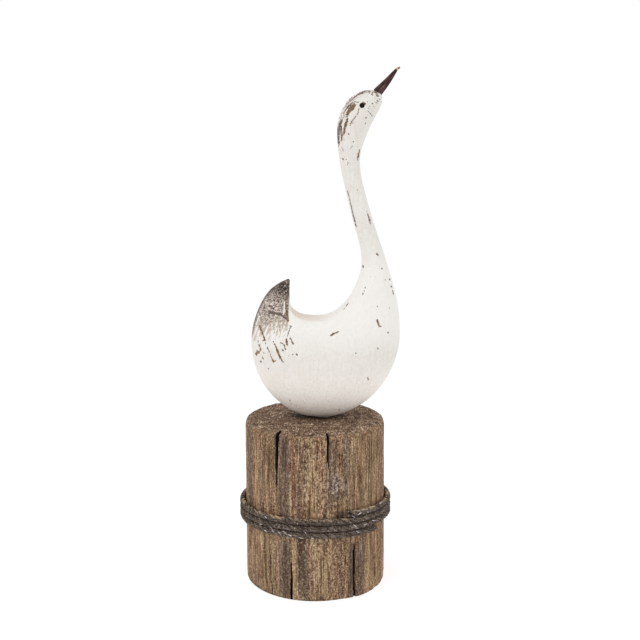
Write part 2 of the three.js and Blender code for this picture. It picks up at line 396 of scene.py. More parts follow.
# Stains: kind, degrees, half width in degrees, lowest and highest point, strength.
STAINS = [
    ("grey", -157, 7, 58, 131, 0.9),
    ("pale", -145, 4, 60, 120, 0.5),
    ("pale", -130, 5, 64, 120, 0.35),
    ("dark", -135.5, 1.6, 60, 118, 0.5),
    ("grey", -114.5, 6.5, 62, 127, 1.0),
    ("dark", -113.5, 3.5, 104, 128, 0.6),
    ("dark", -117.5, 2, 60, 92, 0.6),
    ("rust", -102, 7, 58, 122, 1.0),
    ("dark", -101, 2, 58, 92, 0.45),
    ("pale", -91.5, 4, 56, 108, 1.0),
    ("rust", -84, 4, 60, 104, 0.7),
    ("grey", -75.5, 5, 84, 124, 0.8),
    ("dark", -74, 2, 96, 120, 0.35),
    ("pale", -69.5, 2.2, 90, 124, 0.7),
    ("grey", -64.5, 2.6, 84, 126, 1.0),
    ("dark", -78, 3.5, 74, 86, 0.8),
    ("dark", -71, 8, 81, 85.5, 0.7),
    # This dark patch is painted shadow beside the rope's tucked start.
    ("dark", -69.5, 5, 65, 71, 1.0),
    ("rust", -60, 5, 66, 110, 0.5),
    ("dark", -43, 1, 70, 125, 0.6),
    ("pale", -50, 6, 60, 124, 0.4),
    ("pale", -35, 7, 60, 124, 0.7),
    ("rust", -29, 2, 60, 126, 0.5),
    ("pale", -151, 7, 0, 56, 0.5),
    ("rust", -141, 3, 0, 50, 0.5),
    ("dark", -113, 4, 2, 42, 0.9),
    ("grey", -115, 7, 0, 46, 0.9),
    ("pale", -106, 2.5, 0, 56, 0.5),
    ("dark", -100.5, 4, 18, 54, 1.0),
    ("grey", -98, 6, 0, 36, 1.0),
    ("rust", -84, 12, 0, 56, 0.6),
    ("pale", -84, 11, 0, 56, 0.4),
    ("grey", -56, 9, 0, 40, 1.0),
    ("dark", -58.5, 4, 4, 44, 0.7),
    ("dark", -49, 1.6, 14, 58, 0.7),
    ("pale", -37, 10, 0, 56, 0.8),
    ("pale", -134, 8, 0, 56, 0.5),
]
KINDS = ("grey", "pale", "dark", "rust")
BACK_STAINS = 22
STAIN_FADE = 8
KNOT_DEGREES = -73
KNOT_HEIGHT = 92 * MM
KNOT_RADIUS = 6.5 * MM
FLAKY_DEGREES = (-88, 100)  # in the middle of these two sides the grain breaks up into flakes
FLAKY_SPREAD = 34
ARRIS = (48.6 * MM, 50.4 * MM)  # cracks end where the top's rounded edge begins

back_chance = random.Random(SEED)
for index in range(BACK_STAINS):
    STAINS.append((
        KINDS[index % len(KINDS)],
        back_chance.uniform(2, 190),
        back_chance.uniform(2, 7),
        back_chance.choice([0, 40, 60]),
        back_chance.choice([56, 100, 131]),
        back_chance.uniform(0.4, 0.9),
    ))
print(len(CRACKS), "cracks and", len(STAINS), "stains")

# %% How deep the cracks are, and where the stains lie
CRACK_WANDERS = 0.35 * MM
CRACK_ROUNDNESS = (0.7, 0.8, 0.5)  # powers: its ends, its section and its depth
STAIN_WANDERS = math.radians(1.2)


def crack_push(angle, height, radius):
    """How deep the cracks are here, and 0 to 1 for how far inside one the place lies."""
    push = 0
    inside = 0
    up = height / MM
    ends, section, deepness = CRACK_ROUNDNESS
    for degrees, low, widest, high, width, depth, lean in CRACKS:
        reach = high - widest if up > widest else widest - low
        share = 1 - abs(up - widest) / reach
        if share <= 0:
            continue
        wander = CRACK_WANDERS * rough((degrees, 0, up), 12)
        middle = degrees + lean * (widest - up) / 10
        aside = abs(turned_away(middle, angle) * FOOT_RADIUS + wander)
        half = width / 2 * share ** ends * MM * (1 + 0.15 * rough((degrees, 5, up), 5))
        within = max(0, 1 - aside / half) * smooth(*ARRIS, radius)
        push = max(push, depth * MM * within ** section * share ** deepness)
        inside = max(inside, min(1, 1.8 * within))
    return push, inside


def stain_shares(angle, height):
    """How strong each kind of stain is, 0 to 1."""
    shares = dict.fromkeys(KINDS, 0)
    up = height / MM
    for kind, degrees, half, low, high, strength in STAINS:
        wander = STAIN_WANDERS * rough((degrees, 0, height), 20 * MM)
        across = abs(turned_away(degrees, angle) + wander) / math.radians(half)
        if across >= 1:
            continue
        fade = min(STAIN_FADE, (high - low) / 3)
        begun = smooth(low - fade, low + fade / 2, up)
        ended = smooth(high - fade / 2, high + fade, up)
        share = strength * begun * (1 - ended) * (1 - smooth(0.4, 1, across))
        shares[kind] = max(shares[kind], share)
    return shares


def flakiness(angle, place):
    """0 where the grain runs in long clean lines, 1 where it is broken up into flakes."""
    nearest = min(abs(turned_away(degrees, angle)) for degrees in FLAKY_DEGREES)
    share = 1 - smooth(0.3, 1, nearest / math.radians(FLAKY_SPREAD))
    return max(0, share * (0.75 + 0.5 * rough(place, 14 * MM, (1, 1, 2.5))))


widest_depth = crack_push(math.radians(CRACKS[0][0]), CRACKS[0][2] * MM, TOP_RADIUS)[0]
print("the widest crack is", round(widest_depth / MM, 1), "mm deep")

# %% How the weather has shaped the log
GROOVE = 0.6 * MM
FLAKE = 0.12 * MM
DRIFT = 1 * MM
# Kinds of unevenness: the size of their lumps and how much longer these are along each axis.
DRIFTS = (40 * MM, (1, 1, 1))
RINGS = (3 * MM, (1, 1, 45))
FIBRES = (1.4 * MM, (1, 1, 30))
FLAKES = (2.2 * MM, (1, 1, 3))
KNOBS = (1.8 * MM, (1, 1, 1))
SAW_MARKS = (2.2 * MM, (5, 1, 1))
TOP_LUMPS = (2.6 * MM, (1, 1, 1))
SAW_DEPTH = 0.5 * MM
TOP_LUMP_DEPTH = 0.8 * MM
SWAN_ROOM = 24 * MM  # the top stays flat this far from its middle, where the swan stands


def half_rough(place, kind):
    """Unevenness of a kind, from 0 to 1."""
    return 0.5 + 0.5 * rough(place, *kind)


def knot_share(angle, height):
    """1 in the middle of the knot, 0 outside it."""
    across = turned_away(KNOT_DEGREES, angle) * FOOT_RADIUS
    along = (height - KNOT_HEIGHT) * 0.8
    return 1 - smooth(0.5, 1.3, math.hypot(across, along) / KNOT_RADIUS)


def weather_the_log(bm):
    layers = {name: bm.verts.layers.float.new(name)
              for name in ("hollow", "crack", "end_grain", "knot", "flaky", *KINDS)}
    for vertex in bm.verts:
        x, y, z = vertex.co
        radius = math.hypot(x, y)
        if radius == 0:
            vertex[layers["end_grain"]] = 1
            continue
        angle = math.atan2(y, x)
        outward = min(1, radius / FOOT_RADIUS) ** FADE
        knot = knot_share(angle, z)
        flaky = flakiness(angle, vertex.co)
        drift = DRIFT * rough((x, y, z), *DRIFTS)
        along = (x + drift, y + drift, z)
        ridge = 1 - 2.2 * abs(rough(along, *RINGS))
        hollow = smooth(-0.1, 1, 0.5 * ridge + 0.85 * rough(along, *FIBRES))
        hollow = mix(hollow, half_rough((x, y, z), KNOBS), knot)
        push, inside = crack_push(angle, z, radius)
        depth = GROOVE * hollow + FLAKE * (1 + 2 * flaky) * half_rough(along, FLAKES)
        depth += furrow_depth(angle, z)
        top = smooth(POST_HEIGHT - 0.5 * TOP_ROUND, POST_HEIGHT, z)
        shaped = radius + (unevenness(angle, z) - depth) * outward - push
        if z > 0:
            vertex.co.x *= shaped / radius
            vertex.co.y *= shaped / radius
        if top > 0:
            worn = smooth(SWAN_ROOM, 1.3 * SWAN_ROOM, radius)
            sawn = SAW_DEPTH * half_rough((x, y, 0), SAW_MARKS)
            lumpy = TOP_LUMP_DEPTH * half_rough((x, y, 5), TOP_LUMPS)
            vertex.co.z -= top * worn * (sawn + lumpy)
        found = {
            "hollow": hollow, "crack": inside, "end_grain": top, "knot": knot, "flaky": flaky,
            **stain_shares(angle, z),
        }
        for name, value in found.items():
            vertex[layers[name]] = value


print("grooves go", GROOVE / MM, "mm deep")

# %% Turn the log and weather it
side_low = (FOOT_RADIUS - FOOT_ROUND, FOOT_ROUND)
side_high = (TOP_RADIUS - TOP_ROUND, POST_HEIGHT - TOP_ROUND)
foot_corner = arc(*side_low, FOOT_ROUND, -90, 0, 3)
top_corner = arc(*side_high, TOP_ROUND, 0, 90, 8)
log = chain([(0, 0), *foot_corner, *top_corner, (0, POST_HEIGHT)])
log.edges.ensure_lookup_table()
foot_edge = log.edges[0]
side_edge = log.edges[len(foot_corner)]
top_edge = log.edges[-1]
for edge, cuts in ((foot_edge, FOOT_CUTS), (side_edge, SIDE_CUTS), (top_edge, TOP_CUTS)):
    bmesh.ops.subdivide_edges(log, edges=[edge], cuts=cuts)
turn(log, COLUMNS)
weather_the_log(log)
print("the log has", len(log.verts), "points")

# %% [markdown]
# ## Weathered wood
# Old outdoor wood isn't one brown. Its fibres run up the side, each a little lighter or darker
# than the next, the grooves hold dirt, and rain and rust have left grey, tan and reddish
# streaks. The noise here is stretched along Z, so its grains become fibres, and it reads Object
# coordinates, so it has no seam. On the top the fibres are cut through, and the saw marks run
# across.

# %% Weathered wood
CONTACT_SHADOW = (18 * MM, 9 * MM)  # painted shadow under the belly: where it begins and where it is full
CONTACT_SHADOW_LONGER = 1.35  # this painted shadow is longer along X
RING_WIDTH = 2.4 * MM
RINGS_WOBBLE = 9 * MM


def weathered_wood():
    wood = Finish("weathered wood")
    line = wood.noise(0.8 * MM, (1, 1, 30), detail=4, roughness=0.65)
    fibre = wood.noise(1.7 * MM, (1, 1, 20), detail=5, roughness=0.7)
    band = wood.noise(5.5 * MM, (1, 1, 40), detail=3)
    flake = wood.noise(1.5 * MM, (1, 1, 2.4), detail=5, roughness=0.7)
    fleck = wood.noise(1.1 * MM, (1, 1, 1.7), detail=3)
    grit = wood.noise(0.9 * MM, (1, 1, 1.5), detail=2, roughness=0.8)
    strip = wood.noise(3.4 * MM, (1, 1, 22), detail=3)
    hollow = wood.attribute("hollow")
    flaky = wood.attribute("flaky")
    broken = (flake - 0.5) * (0.22 + 0.42 * flaky) + (grit - 0.5) * 0.55
    grain = 0.5 * line + 0.3 * fibre + 0.2 * band + broken
    tint = wood.ramp(
        grain,
        (0.37, 56, 38, 28),
        (0.44, 96, 71, 53),
        (0.5, 127, 100, 77),
        (0.56, 156, 129, 101),
        (0.64, 202, 178, 148),
    )
    tint = wood.product(tint, wood.ramp(
        strip,
        (0.38, 253, 236, 231),
        (0.47, 255, 255, 255),
        (0.53, 255, 255, 255),
        (0.62, 239, 247, 239),
    ))
    grey = wood.attribute("grey") * wood.step(0.6 * flake + 0.4 * fibre, 0.34, 0.6, 0.35, 1)
    tint = wood.blend(tint, wood.ramp(
        0.4 * flake + 0.3 * line + 0.3 * grit,
        (0.4, 42, 34, 31),
        (0.5, 88, 73, 64),
        (0.6, 142, 125, 112),
    ), 0.85 * grey)
    rust = wood.attribute("rust") * wood.step(0.5 * flake + 0.5 * fibre, 0.56, 0.42, 0.2, 1)
    tint = wood.blend(tint, colour(92, 65, 53), 0.6 * rust)
    pale = wood.attribute("pale") * wood.step(fibre, 0.38, 0.6)
    tint = wood.blend(tint, colour(200, 168, 120), 0.45 * pale)
    dark = wood.attribute("dark") * wood.step(flake, 0.3, 0.6, 0.4, 1)
    tint = wood.blend(tint, colour(54, 40, 34), 0.8 * dark)
    tint = wood.blend(tint, wood.ramp(
        wood.noise(2.4 * MM, detail=5, roughness=0.8),
        (0.4, 48, 36, 32),
        (0.49, 104, 86, 78),
        (0.58, 190, 172, 160),
    ), 0.8 * wood.attribute("knot"))
    tint = wood.blend(tint, colour(58, 41, 31), 0.65 * wood.step(hollow, 0.5, 1))
    spot = wood.step(fleck, 0.585, 0.66) * (0.4 + 0.6 * flaky)
    tint = wood.blend(tint, colour(54, 33, 24), 0.85 * spot)
    chip = wood.step(fleck, 0.42, 0.35) * (0.45 + 0.55 * flaky)
    tint = wood.blend(tint, colour(200, 180, 154), 0.55 * chip)

    saw = wood.noise(1.6 * MM, (3, 2.4, 1), detail=4, roughness=0.7)
    pore = wood.noise(0.9 * MM, (1, 3.5, 1), detail=3, roughness=0.7)
    mottle = wood.noise(4 * MM, (1.7, 1, 1), detail=4, roughness=0.65)
    wobble = wood.noise(22 * MM, detail=2) * RINGS_WOBBLE
    from_middle = wood.length(wood.product(wood.place, (1, 1, 0)))
    rings = wood.grains(from_middle + wobble, RING_WIDTH, 3)
    end = wood.ramp(
        0.3 * saw + 0.46 * pore + 0.08 * rings + 0.16 * mottle,
        (0.41, 44, 30, 23),
        (0.46, 82, 62, 49),
        (0.505, 112, 90, 72),
        (0.55, 144, 119, 97),
        (0.6, 208, 188, 164),
    )
    # Round the swan's seat the end grain is painted near black: painted shadow under the belly.
    from_seat = wood.length(wood.product(wood.place, (1 / CONTACT_SHADOW_LONGER, 1, 0)))
    end = wood.blend(end, colour(22, 16, 13), wood.step(from_seat, *CONTACT_SHADOW, 0, 0.55))
    end_grain = wood.step(wood.attribute("end_grain"), 0.1, 0.9)
    tint = wood.blend(tint, end, end_grain)
    # Inside the cracks the wood is painted near black: painted shade in the deep gaps.
    tint = wood.blend(tint, colour(16, 12, 10), wood.step(wood.attribute("crack"), 0.05, 0.4))
    wood.set(
        Base_Color=tint,
        Roughness=0.88,
        Specular_IOR_Level=0.2,
        Normal=wood.bump(0.3 * flake + 0.5 * line + 0.2 * grit, 0.7 * MM, 0.8),
    )
    return wood.material


dress("post_dressed", log, [weathered_wood()], "weathered_timber", "post")

# %% [markdown]
# ## The rope
# A laid rope is three strands twisted round each other. Its centre line winds round the log in
# three turns, and each strand is a helix about that line. A curve with a round bevel draws a
# strand well and gives it a UV map whose first axis runs along it, which the yarn pattern
# follows. The rope is old and hairy, so thousands of short fibres lie on it or lift off a
# little. They are thin curves too, drawn by a seeded loop so that every run is alike.

# %% The rope's winding
ROPE_DIAMETER = 4.7 * MM
ROPE_PITCH = 5.25 * MM
ROPE_START = math.radians(-65)
ROPE_TURNS = 3 + 27 / 360
ROPE_START_HEIGHT = 65.4 * MM
ROPE_FRONT_LIFT = 4 * MM
ROPE_SINKS = 0.4 * MM  # the rope is pulled tight into the log's furrows
STRANDS = 3
STRAND_RADIUS = 0.56 * ROPE_DIAMETER / 2  # wide enough to sink into one another
STRAND_OFFSET = ROPE_DIAMETER / 2 - STRAND_RADIUS
LAY = 17 * MM
STEPS_PER_LAY = 16


def rope_centre(turned):
    """The middle of the rope after so many turns."""
    angle = ROPE_START + turned * 2 * math.pi
    front = (1 + math.cos(angle + math.pi / 2)) / 2
    height = ROPE_START_HEIGHT - turned * ROPE_PITCH + ROPE_FRONT_LIFT * front ** 2
    radius = log_radius(angle, height - ROPE_DIAMETER) + GAP + ROPE_DIAMETER / 2 - ROPE_SINKS
    return Vector((radius * math.cos(angle), radius * math.sin(angle), height))


def rope_frame(turned):
    """The rope's middle, and the directions along it, outwards and upwards there."""
    centre = rope_centre(turned)
    ahead = (rope_centre(turned + 0.001) - centre).normalized()
    outward = Vector((centre.x, centre.y, 0)).normalized()
    outward = (outward - ahead * outward.dot(ahead)).normalized()
    upward = outward.cross(ahead).normalized()
    if upward.z < 0:
        upward = -upward
    return centre, ahead, outward, upward


rope_length = 2 * math.pi * (FOOT_RADIUS + ROPE_DIAMETER / 2) * ROPE_TURNS
lays = rope_length / LAY


def turns_over(length):
    """The turns that a length of rope takes up."""
    return length / rope_length * ROPE_TURNS


def on_rope(turned, twist, out):
    """A place at a distance from the rope's middle, in the direction of an angle round it."""
    centre, ahead, outward, upward = rope_frame(turned)
    return centre + out * (math.cos(twist) * outward + math.sin(twist) * upward)


def strand_twist(turned, strand):
    """The angle at which a strand lies round the rope: it falls to the right on the front."""
    return -2 * math.pi * lays * turned / ROPE_TURNS + strand * 2 * math.pi / STRANDS


def nearest_turn(angle, height):
    """Where along the rope a place lies, from its angle and height."""
    first = (angle - ROPE_START) / (2 * math.pi)
    passes = [first + number for number in range(-1, math.ceil(ROPE_TURNS) + 1)]
    inside = [turned for turned in passes if 0 <= turned <= ROPE_TURNS]
    return min(inside, key=lambda turned: abs(rope_centre(turned).z - height))


print("the rope is", round(rope_length, 2), "m long, with", round(lays), "twists")

# %% Strands and fibres as curves
SWELLING = 0.14  # how much thicker or thinner a strand gets
FIBRE_RADIUS = 0.08 * MM
FUZZ = 3400
FUZZ_STEPS = 5
FUZZ_LENGTHS = (1.5, 6)  # millimetres
FUZZ_LIFT = 0.38 * MM
FUZZ_FACES = 1.9  # radians from straight out: fibres on the post's side would never be seen
TWIST_PER_MM = -2 * math.pi * MM / LAY
PALE_SHARE = 0.015
FRAYED = 34  # fibres at each of the rope's two ends
FRAYED_SPREAD = 0.35 * MM
FRAYED_WIDTHS = {-1: 1.5, 0: 1.4, 0.5: 1.2, 1: 0.7}  # at places along a fibre
# Yarns that wear has bleached: degrees and height in millimetres at both of their ends.
BLEACHED = [
    (-128.8, 65, -126.6, 64),
    (-125.1, 57.4, -120.5, 54.4),
    (-117.5, 55.7, -114.8, 53.9),
    (-113.6, 56.5, -109.9, 54.3),
    (-108.6, 54.5, -106, 53.7),
    (-97.4, 57.2, -96, 56.5),
    (-135.2, 57.1, -133.1, 56.6),
    (-101, 53, -98.1, 52.6),
    (-92.5, 53.2, -90.4, 52.9),
    (-129.1, 54, -126.9, 53.2),
    (-62.4, 68.4, -59.7, 65.5),
    (-57.8, 68, -54.5, 69.1),
    (-49, 68.4, -48.2, 67.4),
    (-33.8, 73.3, -29.9, 70.8),
    (-60.9, 60.6, -58.8, 58.5),
    (-52.6, 58.4, -49.7, 58.8),
    (-58.8, 54.9, -56.6, 53.6),
    (-43.5, 59.6, -40.6, 58.2),
    (100, 62, 103, 60),
    (118, 57, 122, 54.6),
    (40, 64, 44, 61.6),
]
BLEACHED_WIDTHS = (2, 4, 5, 4, 2)


def add_line(curve, places, radii):
    spline = curve.splines.new("POLY")
    spline.points.add(len(places) - 1)
    for point, place, radius in zip(spline.points, places, radii):
        point.co = (*place, 1)
        point.radius = radius
    spline.use_smooth = True


def new_curve(name, radius, resolution):
    curve = bpy.data.curves.new(name, "CURVE")
    curve.dimensions = "3D"
    curve.bevel_depth = radius
    curve.bevel_resolution = resolution
    curve.use_fill_caps = True
    return curve


def strand_curve():
    curve = new_curve("strands", STRAND_RADIUS, 3)
    steps = round(lays * STEPS_PER_LAY)
    for strand in range(STRANDS):
        places = []
        radii = []
        for step in range(steps + 1):
            turned = ROPE_TURNS * step / steps
            twist = strand_twist(turned, strand)
            places.append(on_rope(turned, twist, STRAND_OFFSET))
            radii.append(1 + SWELLING * rough((strand * 9, 0, step), 5))
        add_line(curve, places, radii)
    return curve


def fuzz_curves():
    """The loose fibres that are as dark as the rope, and the bleached ones."""
    dark = new_curve("dark fuzz", FIBRE_RADIUS, 0)
    bleached = new_curve("bleached fuzz", FIBRE_RADIUS, 0)
    chance = random.Random(SEED)
    surface = ROPE_DIAMETER / 2
    for number in range(FUZZ):
        turned = chance.uniform(0.002, ROPE_TURNS - 0.01)
        twist = chance.uniform(-FUZZ_FACES, FUZZ_FACES)
        length = chance.uniform(*FUZZ_LENGTHS)
        lift = chance.uniform(0, 0.85) ** 2 * FUZZ_LIFT
        lean = length * TWIST_PER_MM * chance.uniform(-0.1, 0.9)
        places = []
        for step in range(FUZZ_STEPS):
            share = step / (FUZZ_STEPS - 1)
            there = turned + turns_over(length * MM * share)
            out = surface * 0.98 + lift * share ** 1.5
            places.append(on_rope(there, twist + lean * share, out))
        radii = [mix(1.2, 0.5, step / FUZZ_STEPS) for step in range(FUZZ_STEPS)]
        add_line(bleached if chance.random() < PALE_SHARE else dark, places, radii)
    for end, direction in ((0, -1), (ROPE_TURNS, 1)):
        for number in range(FRAYED):
            twist = chance.uniform(-math.pi, math.pi)
            length = direction * turns_over(chance.uniform(0.5, 2.2) * MM)
            start = surface * chance.uniform(0.1, 0.95)
            spread = chance.uniform(0, 1) * FRAYED_SPREAD
            places = [on_rope(end + length * share, twist - 0.5 * share, start + spread * share)
                      for share in FRAYED_WIDTHS]
            add_line(dark, places, FRAYED_WIDTHS.values())
    for start_degrees, start_height, end_degrees, end_height in BLEACHED:
        places = []
        for step in range(len(BLEACHED_WIDTHS)):
            share = step / (len(BLEACHED_WIDTHS) - 1)
            height = mix(start_height, end_height, share) * MM
            turned = nearest_turn(math.radians(mix(start_degrees, end_degrees, share)), height)
            aside = (height - rope_centre(turned).z) / surface
            places.append(on_rope(turned, math.asin(min(0.9, max(-0.9, aside))), surface))
        add_line(bleached, places, BLEACHED_WIDTHS)
    return dark, bleached


rope_curves = (strand_curve(), *fuzz_curves())
for curve in rope_curves:
    print(len(curve.splines), "lines of", curve.name)

# %% [markdown]
# Each curve becomes a mesh of its own, so that its faces can be given their material. The
# strands' points then note two things for the material: how much they face up in the open, where
# dust lies and a painted highlight from above falls, and how far they stand out from the rope's
# middle, which the painted shade between the strands follows.

# %% One mesh of the rope
TUCKED_SHADE_TURNS = 0.02  # the rope's start was pushed under; here it is painted dark, as painted shadow
SHELTERED = (0.5 * MM, 2.6 * MM)  # below the rope's upper edge: where it begins and is full

rope_bm = bmesh.new()
for index, curve in enumerate(rope_curves):
    faces_before = len(rope_bm.faces)
    rope_bm.from_mesh(applied(add_object(curve.name, curve)))
    rope_bm.faces.ensure_lookup_table()
    for face in rope_bm.faces[faces_before:]:
        face.material_index = index
    if index == 0:
        strand_points = len(rope_bm.verts)
    print(curve.name, "has", len(rope_bm.faces) - faces_before, "faces")
rope_bm.verts.ensure_lookup_table()
upward = rope_bm.verts.layers.float.new("upward")
crest = rope_bm.verts.layers.float.new("crest")
rope_bm.normal_update()
for vertex in rope_bm.verts[:strand_points]:
    x, y, z = vertex.co
    angle = math.atan2(y, x)
    turned = nearest_turn(angle, z)
    middle = rope_centre(turned)
    # The rope's start is painted darker: painted shadow where it tucks under.
    tucked_shade = 1 - smooth(0, TUCKED_SHADE_TURNS, turned)
    first_pass = (angle - ROPE_START) % (2 * math.pi) / (2 * math.pi)
    below_top = rope_centre(first_pass).z + ROPE_DIAMETER / 2 - z
    in_sight = 1 - 0.85 * smooth(*SHELTERED, below_top)
    vertex[upward] = max(0, vertex.normal.z) * in_sight * (1 - tucked_shade)
    vertex[crest] = (vertex.co - middle).length / (ROPE_DIAMETER / 2) - 0.3 * tucked_shade

# %% [markdown]
# ## Hemp
# Old hemp is a dark grey brown where it faces out. Its upper side is tan, partly from dust and
# partly as a painted highlight from above, and deep between the strands it is painted near black
# as painted shade. The yarns of a strand run at a slant round it, which is a stripe pattern on the
# strand's own UV map. The loose fibres are as dark as the rope or a little lighter, and a few have
# bleached almost white.

# %% Hemp
YARN_SIZE = 0.5 * MM
YARN_STRETCH = 8
YARN_SLANT = 0.35  # how far the yarns climb round a strand for each length along it


def hemp():
    rope = Finish("dark hemp")
    uv = rope.node("UVMap", {"uv_map": "UVMap"}, {})
    along = rope.node("SeparateXYZ", {}, {"Vector": uv}, "X") * rope_length
    around = rope.node("SeparateXYZ", {}, {"Vector": uv}, "Y") * (2 * math.pi * STRAND_RADIUS)
    yarn_place = rope.node("CombineXYZ", {}, {
        "X": along * (1 / YARN_STRETCH), "Y": around - along * YARN_SLANT,
    })
    yarn = rope.grains(yarn_place, YARN_SIZE, 4, 0.65)
    grime = rope.noise(0.8 * MM, detail=4, roughness=0.75)
    patch = rope.noise(8 * MM, detail=3)
    tint = rope.ramp(
        0.65 * grime + 0.25 * yarn + 0.1 * patch,
        (0.42, 32, 25, 22),
        (0.48, 66, 56, 49),
        (0.54, 110, 96, 86),
        (0.6, 190, 176, 162),
    )
    # Deep between the strands the colour goes near black: painted shade in the grooves.
    tint = rope.blend(colour(26, 21, 19), tint, rope.step(rope.attribute("crest"), 0.55, 0.85))
    # The upward faces turn tan: partly dust, partly a painted highlight from above.
    dust_and_highlight = rope.attribute("upward") * rope.step(1.5 * grime + patch, 1.0, 1.5)
    tint = rope.blend(tint, colour(196, 171, 142), 0.9 * rope.step(dust_and_highlight, 0.26, 0.58))
    rope.set(
        Base_Color=tint,
        Roughness=0.92,
        Specular_IOR_Level=0.15,
        Normal=rope.bump(0.5 * yarn + 0.5 * grime, 0.4 * MM),
    )
    return rope.material


def loose_fibre(name, dark, light):
    fibre = Finish(name)
    shade = fibre.noise(1.1 * MM, detail=2)
    fibre.set(
        Base_Color=fibre.blend(dark, light, fibre.step(shade, 0.35, 0.65)),
        Roughness=0.8,
        Specular_IOR_Level=0.2,
    )
    return fibre.material


rope_materials = [
    hemp(),
    loose_fibre("hemp fibre", colour(34, 28, 24), colour(132, 117, 104)),
    loose_fibre("bleached fibre", colour(160, 150, 148), colour(228, 222, 225)),
]
dress("rope_dressed", rope_bm, rope_materials, "dark_hemp", "rope")

# %% [markdown]
# ## The swan
# The carver cut one block, left a flat on the back and the inner side of the tail, and sanded
# everything else round. The solid has that form in about five thousand flat faces. A copy of it
# with its triangles paired into quads takes a Subdivision Surface well: it turns the facets
# into one smooth skin, and creases keep the edge of the carved flat crisp.

# %% The swan's smooth skin
CREASE_ANGLE = math.radians(24)
CREASE = 0.75
JOIN_FACES = math.radians(40)  # triangles that bend less than this may become one quad
JOIN_SHAPES = math.radians(60)  # if its corners are no further than this from square
SKIN_LEVELS = 2
SADDLE_CENTRE = Vector((6 * MM, 0, SEAT_HEIGHT + 112 * MM))
SADDLE_REACH = (44 * MM, 54 * MM)  # the carved flat ends between these distances from it
CARVED = (0.12 * MM, 11 * MM)  # the knife's broad waves: how high, how long
SANDED = (0.05 * MM, 4 * MM)
SUNK = 0.1 * MM  # keeps the waves inside the solid
FOOT = 0.2 * MM  # the lowest points, which reach down to the post


def copy_of(node):
    bm = bmesh.new()
    bm.from_mesh(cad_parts[node].data)
    bmesh.ops.remove_doubles(bm, verts=bm.verts, dist=MERGE_WITHIN)
    return bm


def subdivided(bm, levels):
    """The bmesh after a Subdivision Surface."""
    mesh = bpy.data.meshes.new("coarse")
    bm.to_mesh(mesh)
    bm.free()
    holder = add_object("coarse", mesh)
    modifier = holder.modifiers.new("smooth", "SUBSURF")
    modifier.levels = levels
    modifier.render_levels = levels
    finer = bmesh.new()
    finer.from_mesh(applied(holder))
    return finer


swan_bm = copy_of("swan")
bmesh.ops.join_triangles(
    swan_bm, faces=swan_bm.faces,
    angle_face_threshold=JOIN_FACES, angle_shape_threshold=JOIN_SHAPES,
)
crease = swan_bm.edges.layers.float.new("crease_edge")
for edge in swan_bm.edges:
    if edge.is_manifold and edge.calc_face_angle(0) > CREASE_ANGLE:
        edge[crease] = CREASE
print("coarse swan:", len(swan_bm.faces), "faces, of them",
      sum(len(face.verts) == 4 for face in swan_bm.faces), "quads")
swan_bm = subdivided(swan_bm, SKIN_LEVELS)
inner_face = swan_bm.verts.layers.float.new("inner_face")
swan_bm.normal_update()
moves = []
for vertex in swan_bm.verts:
    inward = (SADDLE_CENTRE - vertex.co).normalized()
    near = 1 - smooth(*SADDLE_REACH, (SADDLE_CENTRE - vertex.co).length)
    vertex[inner_face] = near * smooth(0.8, 1, vertex.normal.dot(inward))
    wave = sum(height * rough(vertex.co, size) for height, size in (CARVED, SANDED))
    moves.append(vertex.normal * (wave - SUNK))
for vertex, move in zip(swan_bm.verts, moves):
    if vertex.co.z < SEAT_HEIGHT + FOOT:
        vertex.co.z -= GAP
    else:
        vertex.co += move

# %% [markdown]
# ## The marks in the paint
# The paint was rubbed back on purpose: the wood shows through in scratches that run down the
# tail, in two long patches on the crown, and in small chips elsewhere. Each mark is a line
# through a few points of the side view, with half its width. The skin gets a finer mesh round
# the marks, and every point notes how far in millimetres it lies outside the nearest one. The
# paint's edge can then be a real step in the mesh, and the material frays it with noise. The
# far side, which nobody has photographed, has fewer marks of its own.

